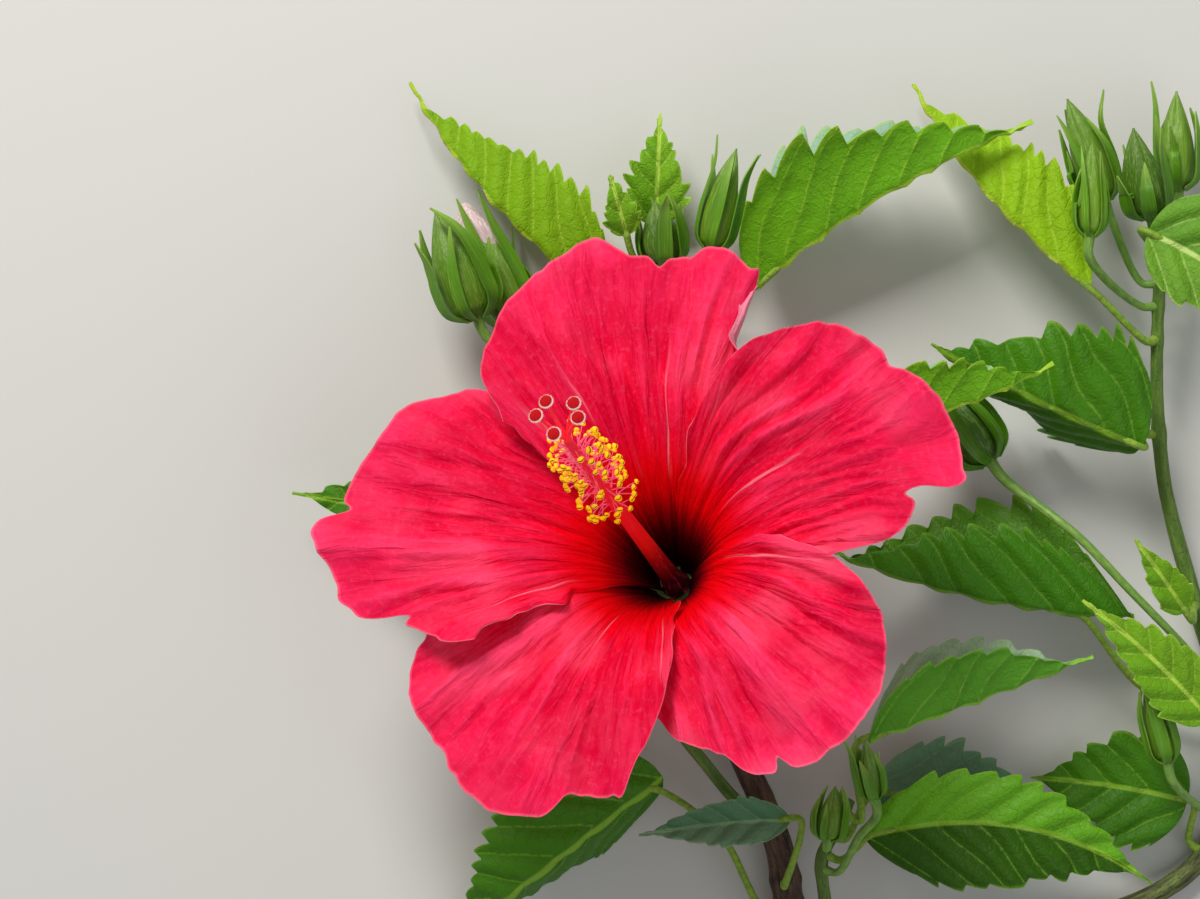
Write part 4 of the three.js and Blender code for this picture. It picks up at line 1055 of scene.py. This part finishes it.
# its radius falls evenly from 1.95 to 0.85 mm, is 1.1 exp(-26 share) mm more at its foot, and has five flutes
share = np.linspace(0, 1, 120)[:, None]
angle = np.linspace(0, circle, column["sides"], endpoint=False)
flute = 1 + 0.04 * np.cos(5 * angle) * (1 - share * 0.5)
thick = between(column["radius"], share) + 1.1 * np.exp(-share * 26)
surface = tube(toBloom(onColumn(share)), thick * flute, column["sides"], (0, 0, 0), 1)
assemble("staminal_column", [surface], columnMaterial(), "column_red", "staminal_column")

# each stamen leaves the column at an angle of its own and bends towards the tip
golden = math.pi * (3 - math.sqrt(5))
order = np.arange(column["stamens"])[:, None]
low = column["zone"][0]
rise = between(column["zone"], ((order + 0.5) / column["stamens"]) ** 0.75)
turned = order * golden + 0.5 * lumps(order * 1.7, 0.3, 4)
out = np.cos(turned) * columnSide + np.sin(turned) * columnFront
reach = column["reach"] * (0.9 + 0.2 * lumps(order * 2.9, 0.6, 6)) * (1 - 0.25 * ramp(0.8, 1, rise))
reach = reach * (0.55 + 0.45 * ramp(low, low + 0.09, rise))
lift = 0.2 + 0.3 * lumps(order * 3.3, 0.9, 8) + 0.1 * ramp(0.8, 1, rise)
feet = onColumn(rise) + out * 0.8
ends = onColumn(rise) + out * reach + columnAxis * (reach * lift)
filaments = []
for foot, end, lean in zip(feet, ends, lift):
    middle = (foot + end) / 2 + columnAxis * (0.9 - 1.6 * lean)
    path = arch(foot, middle, end, np.linspace(0, 1, 8)[:, None])
    filaments.append(tube(toBloom(path), np.linspace(*column["filament"], 8), 6, (0, 0, 0), 1))
filamentFinish = tintedMaterial("filament", ("#ea3a66", "#f27a98", "#f27a98"), 0.45, 0.0001, 2.0)
assemble("filaments", filaments, filamentFinish, "column_red", "staminal_column")

# an anther: a bean about 1.4 mm long with a dark groove along it; each pole of its grid is kept as one point
rows, columns = 9, 12
lat, lon = np.meshgrid(np.linspace(0, np.pi, rows), np.linspace(0, circle, columns, endpoint=False),
                       indexing="ij")
bean = polar(np.sin(lat), lon, np.cos(lat))
groove = bell(bean[..., 1] / 0.32) * ramp(-0.2, 0.4, bean[..., 2])
bean = bean * (1, 0.78, 0.72) * (1 - 0.3 * groove)[..., None]
bean[..., 2] -= 0.25 * bean[..., 0] ** 2
last = (rows - 2) * columns + 1
kept = np.arange(last + 1) + columns - 1
ring = np.arange(1, last).reshape(rows - 2, columns)
ring = np.hstack([ring, ring[:, :1]])
beanFaces = [quads(ring), vec(0, ring[0, 1:], ring[0, :-1]), vec(last, ring[-1, :-1], ring[-1, 1:])]
heading = unit(ends - feet)
cradle = unit(np.cross(heading, columnAxis) + 0.5 * lumps(order * 1.3, np.arange(3), 12))
cradle = unit(cradle - heading * (cradle * heading).sum(axis=1, keepdims=True))
anthers = scatter(bean.reshape(-1, 3)[kept], [face[:, ::-1] for face in beanFaces], ends, cradle, heading,
                  column["anther"] * (1 + 0.18 * lumps(order * 4.1, 0.2, 14)),
                  vec(groove.reshape(-1)[kept], 0, 0))
antherFinish = tintedMaterial("anther", ("#ffba00", "#ffdc20", "#7c3004"), 0.6, 0.0002, 4.0, 0.32,
                              Specular_IOR_Level=0.2)
assemble("anthers", [(toBloom(anthers[0]), *anthers[1:])], antherFinish, "column_red", "staminal_column")

# the five styles: how far each stigma stands from the axis, to the side and to the front, in millimetres;
# a stigma is a flat round cushion with a ring of hairs
stigma = {
    "offsets": ((-1.6, -4.1), (-5.0, 0.3), (1.6, -3.3), (-3.7, 3.3), (1.6, 2.4)), "above": 8.5,
    "radius": 1.32, "half": 0.72, "hairs": 72, "hairRadius": 0.055}
spike = np.array([(1, 0, 0), (-0.5, 0.87, 0), (-0.5, -0.87, 0), (0, 0, 6.0)])
spikeFaces = [np.array([(0, 1, 3), (1, 2, 3), (2, 0, 3), (0, 2, 1)])]
styles, heads = [], []
for k, (aside, before) in enumerate(stigma["offsets"]):
    offset = columnSide * aside + columnFront * before
    end = onColumn(1.0) + columnAxis * stigma["above"] + offset
    points = [onColumn(0.97), onColumn(1.0) + columnAxis * 2.5 + offset * 0.22,
              onColumn(1.0) + columnAxis * 5.8 + offset * 0.62, end - columnAxis * 0.5]
    styles.append(tube(toBloom(course(points, 24)), np.linspace(*column["style"], 24), 12, (0, 0, 0), k))
    facing = unit(columnAxis + offset * 0.03 + (0.05, -0.1, 0.35))
    aim = unit(np.cross(facing, columnSide))
    t = np.linspace(0.02, np.pi - 0.02, 15)
    path = end - facing * (stigma["half"] * np.cos(t))[:, None]
    head = tube(toBloom(path), stigma["radius"] * np.sin(t), 32, (0, 0, 0), k)
    head[3][:, 0] = bell((head[3][:, 1] - 0.5) / 0.16)
    spin = np.linspace(0, circle, stigma["hairs"], endpoint=False)[:, None]
    ray = np.cos(spin) * aim + np.sin(spin) * np.cross(facing, aim)
    drop = 0.32 * lumps(np.arange(stigma["hairs"]) * 1.9, k, 3)[:, None]
    hair = unit(ray + facing * (0.1 + drop))
    brush = scatter(spike, spikeFaces, end + ray * 1.24 + facing * (0.05 + drop * 0.6),
                    unit(np.cross(hair, facing)), hair, stigma["hairRadius"], 0 * spike + (1, 0, 0))
    heads += [head, (toBloom(brush[0]), *brush[1:])]
styleFinish = tintedMaterial("style", ("#de1224", "#ec2c40", "#ec2c40"), 0.5, 0.0002, 1.5, 0.42)
stigmaFinish = tintedMaterial("stigma", ("#ac000a", "#c80c16", "#fff2ec"), 0.75, 0.0004, 5.0, 0.25,
                              Specular_IOR_Level=0.2)
assemble("styles", styles, styleFinish, "column_red", "staminal_column")
assemble("stigmas", heads, stigmaFinish, "column_red", "staminal_column")
print("column made")


# Floor: a plain pale sheet of 4 m, 0.4 mm below the branch, that fills the picture, and a soft world
ground = {"half": 2, "height": -0.0004}
wire = newMaterial("floor")
skin = wire.node("BsdfPrincipled", {}, {"Base Color": "#d2d2cf", "Roughness": 0.9})
wire.node("OutputMaterial", {}, {"Surface": skin})
floorMesh = bpy.data.meshes.new("floor")
x, y = np.array(((-1, 1, 1, -1), (-1, -1, 1, 1))) * ground["half"]
floorMesh.from_pydata(vec(x, y, ground["height"]).tolist(), [], [(0, 1, 2, 3)])
floorMesh.materials.append(wire.material)
floor = bpy.data.objects.new("floor", floorMesh)
scene.collection.objects.link(floor)

world = bpy.data.worlds.new("studio")
world.use_nodes = True
world.node_tree.nodes["Background"].inputs[0].default_value = tint("#ecebe8")
world.node_tree.nodes["Background"].inputs[1].default_value = 0.34
scene.world = world

lamps = {
    "window": {"place": (-0.35, 0.75, 0.75), "size": 0.4, "power": 11.2, "colour": (1.0, 0.97, 0.92)},
    "fill": {"place": (0.5, -0.35, 0.9), "size": 0.9, "power": 2, "colour": (0.92, 0.96, 1.0)},
}
for name, lamp in lamps.items():
    light = bpy.data.lights.new(name, "AREA")
    light.size = lamp["size"]
    light.energy = lamp["power"]
    light.color = lamp["colour"]
    bulb = bpy.data.objects.new(name, light)
    bulb.location = lamp["place"]
    aim = -np.array(lamp["place"])
    bulb.rotation_euler = (math.acos(-unit(aim)[2]), 0, math.atan2(aim[1], aim[0]) - math.pi / 2)
    scene.collection.objects.link(bulb)
print("light set")
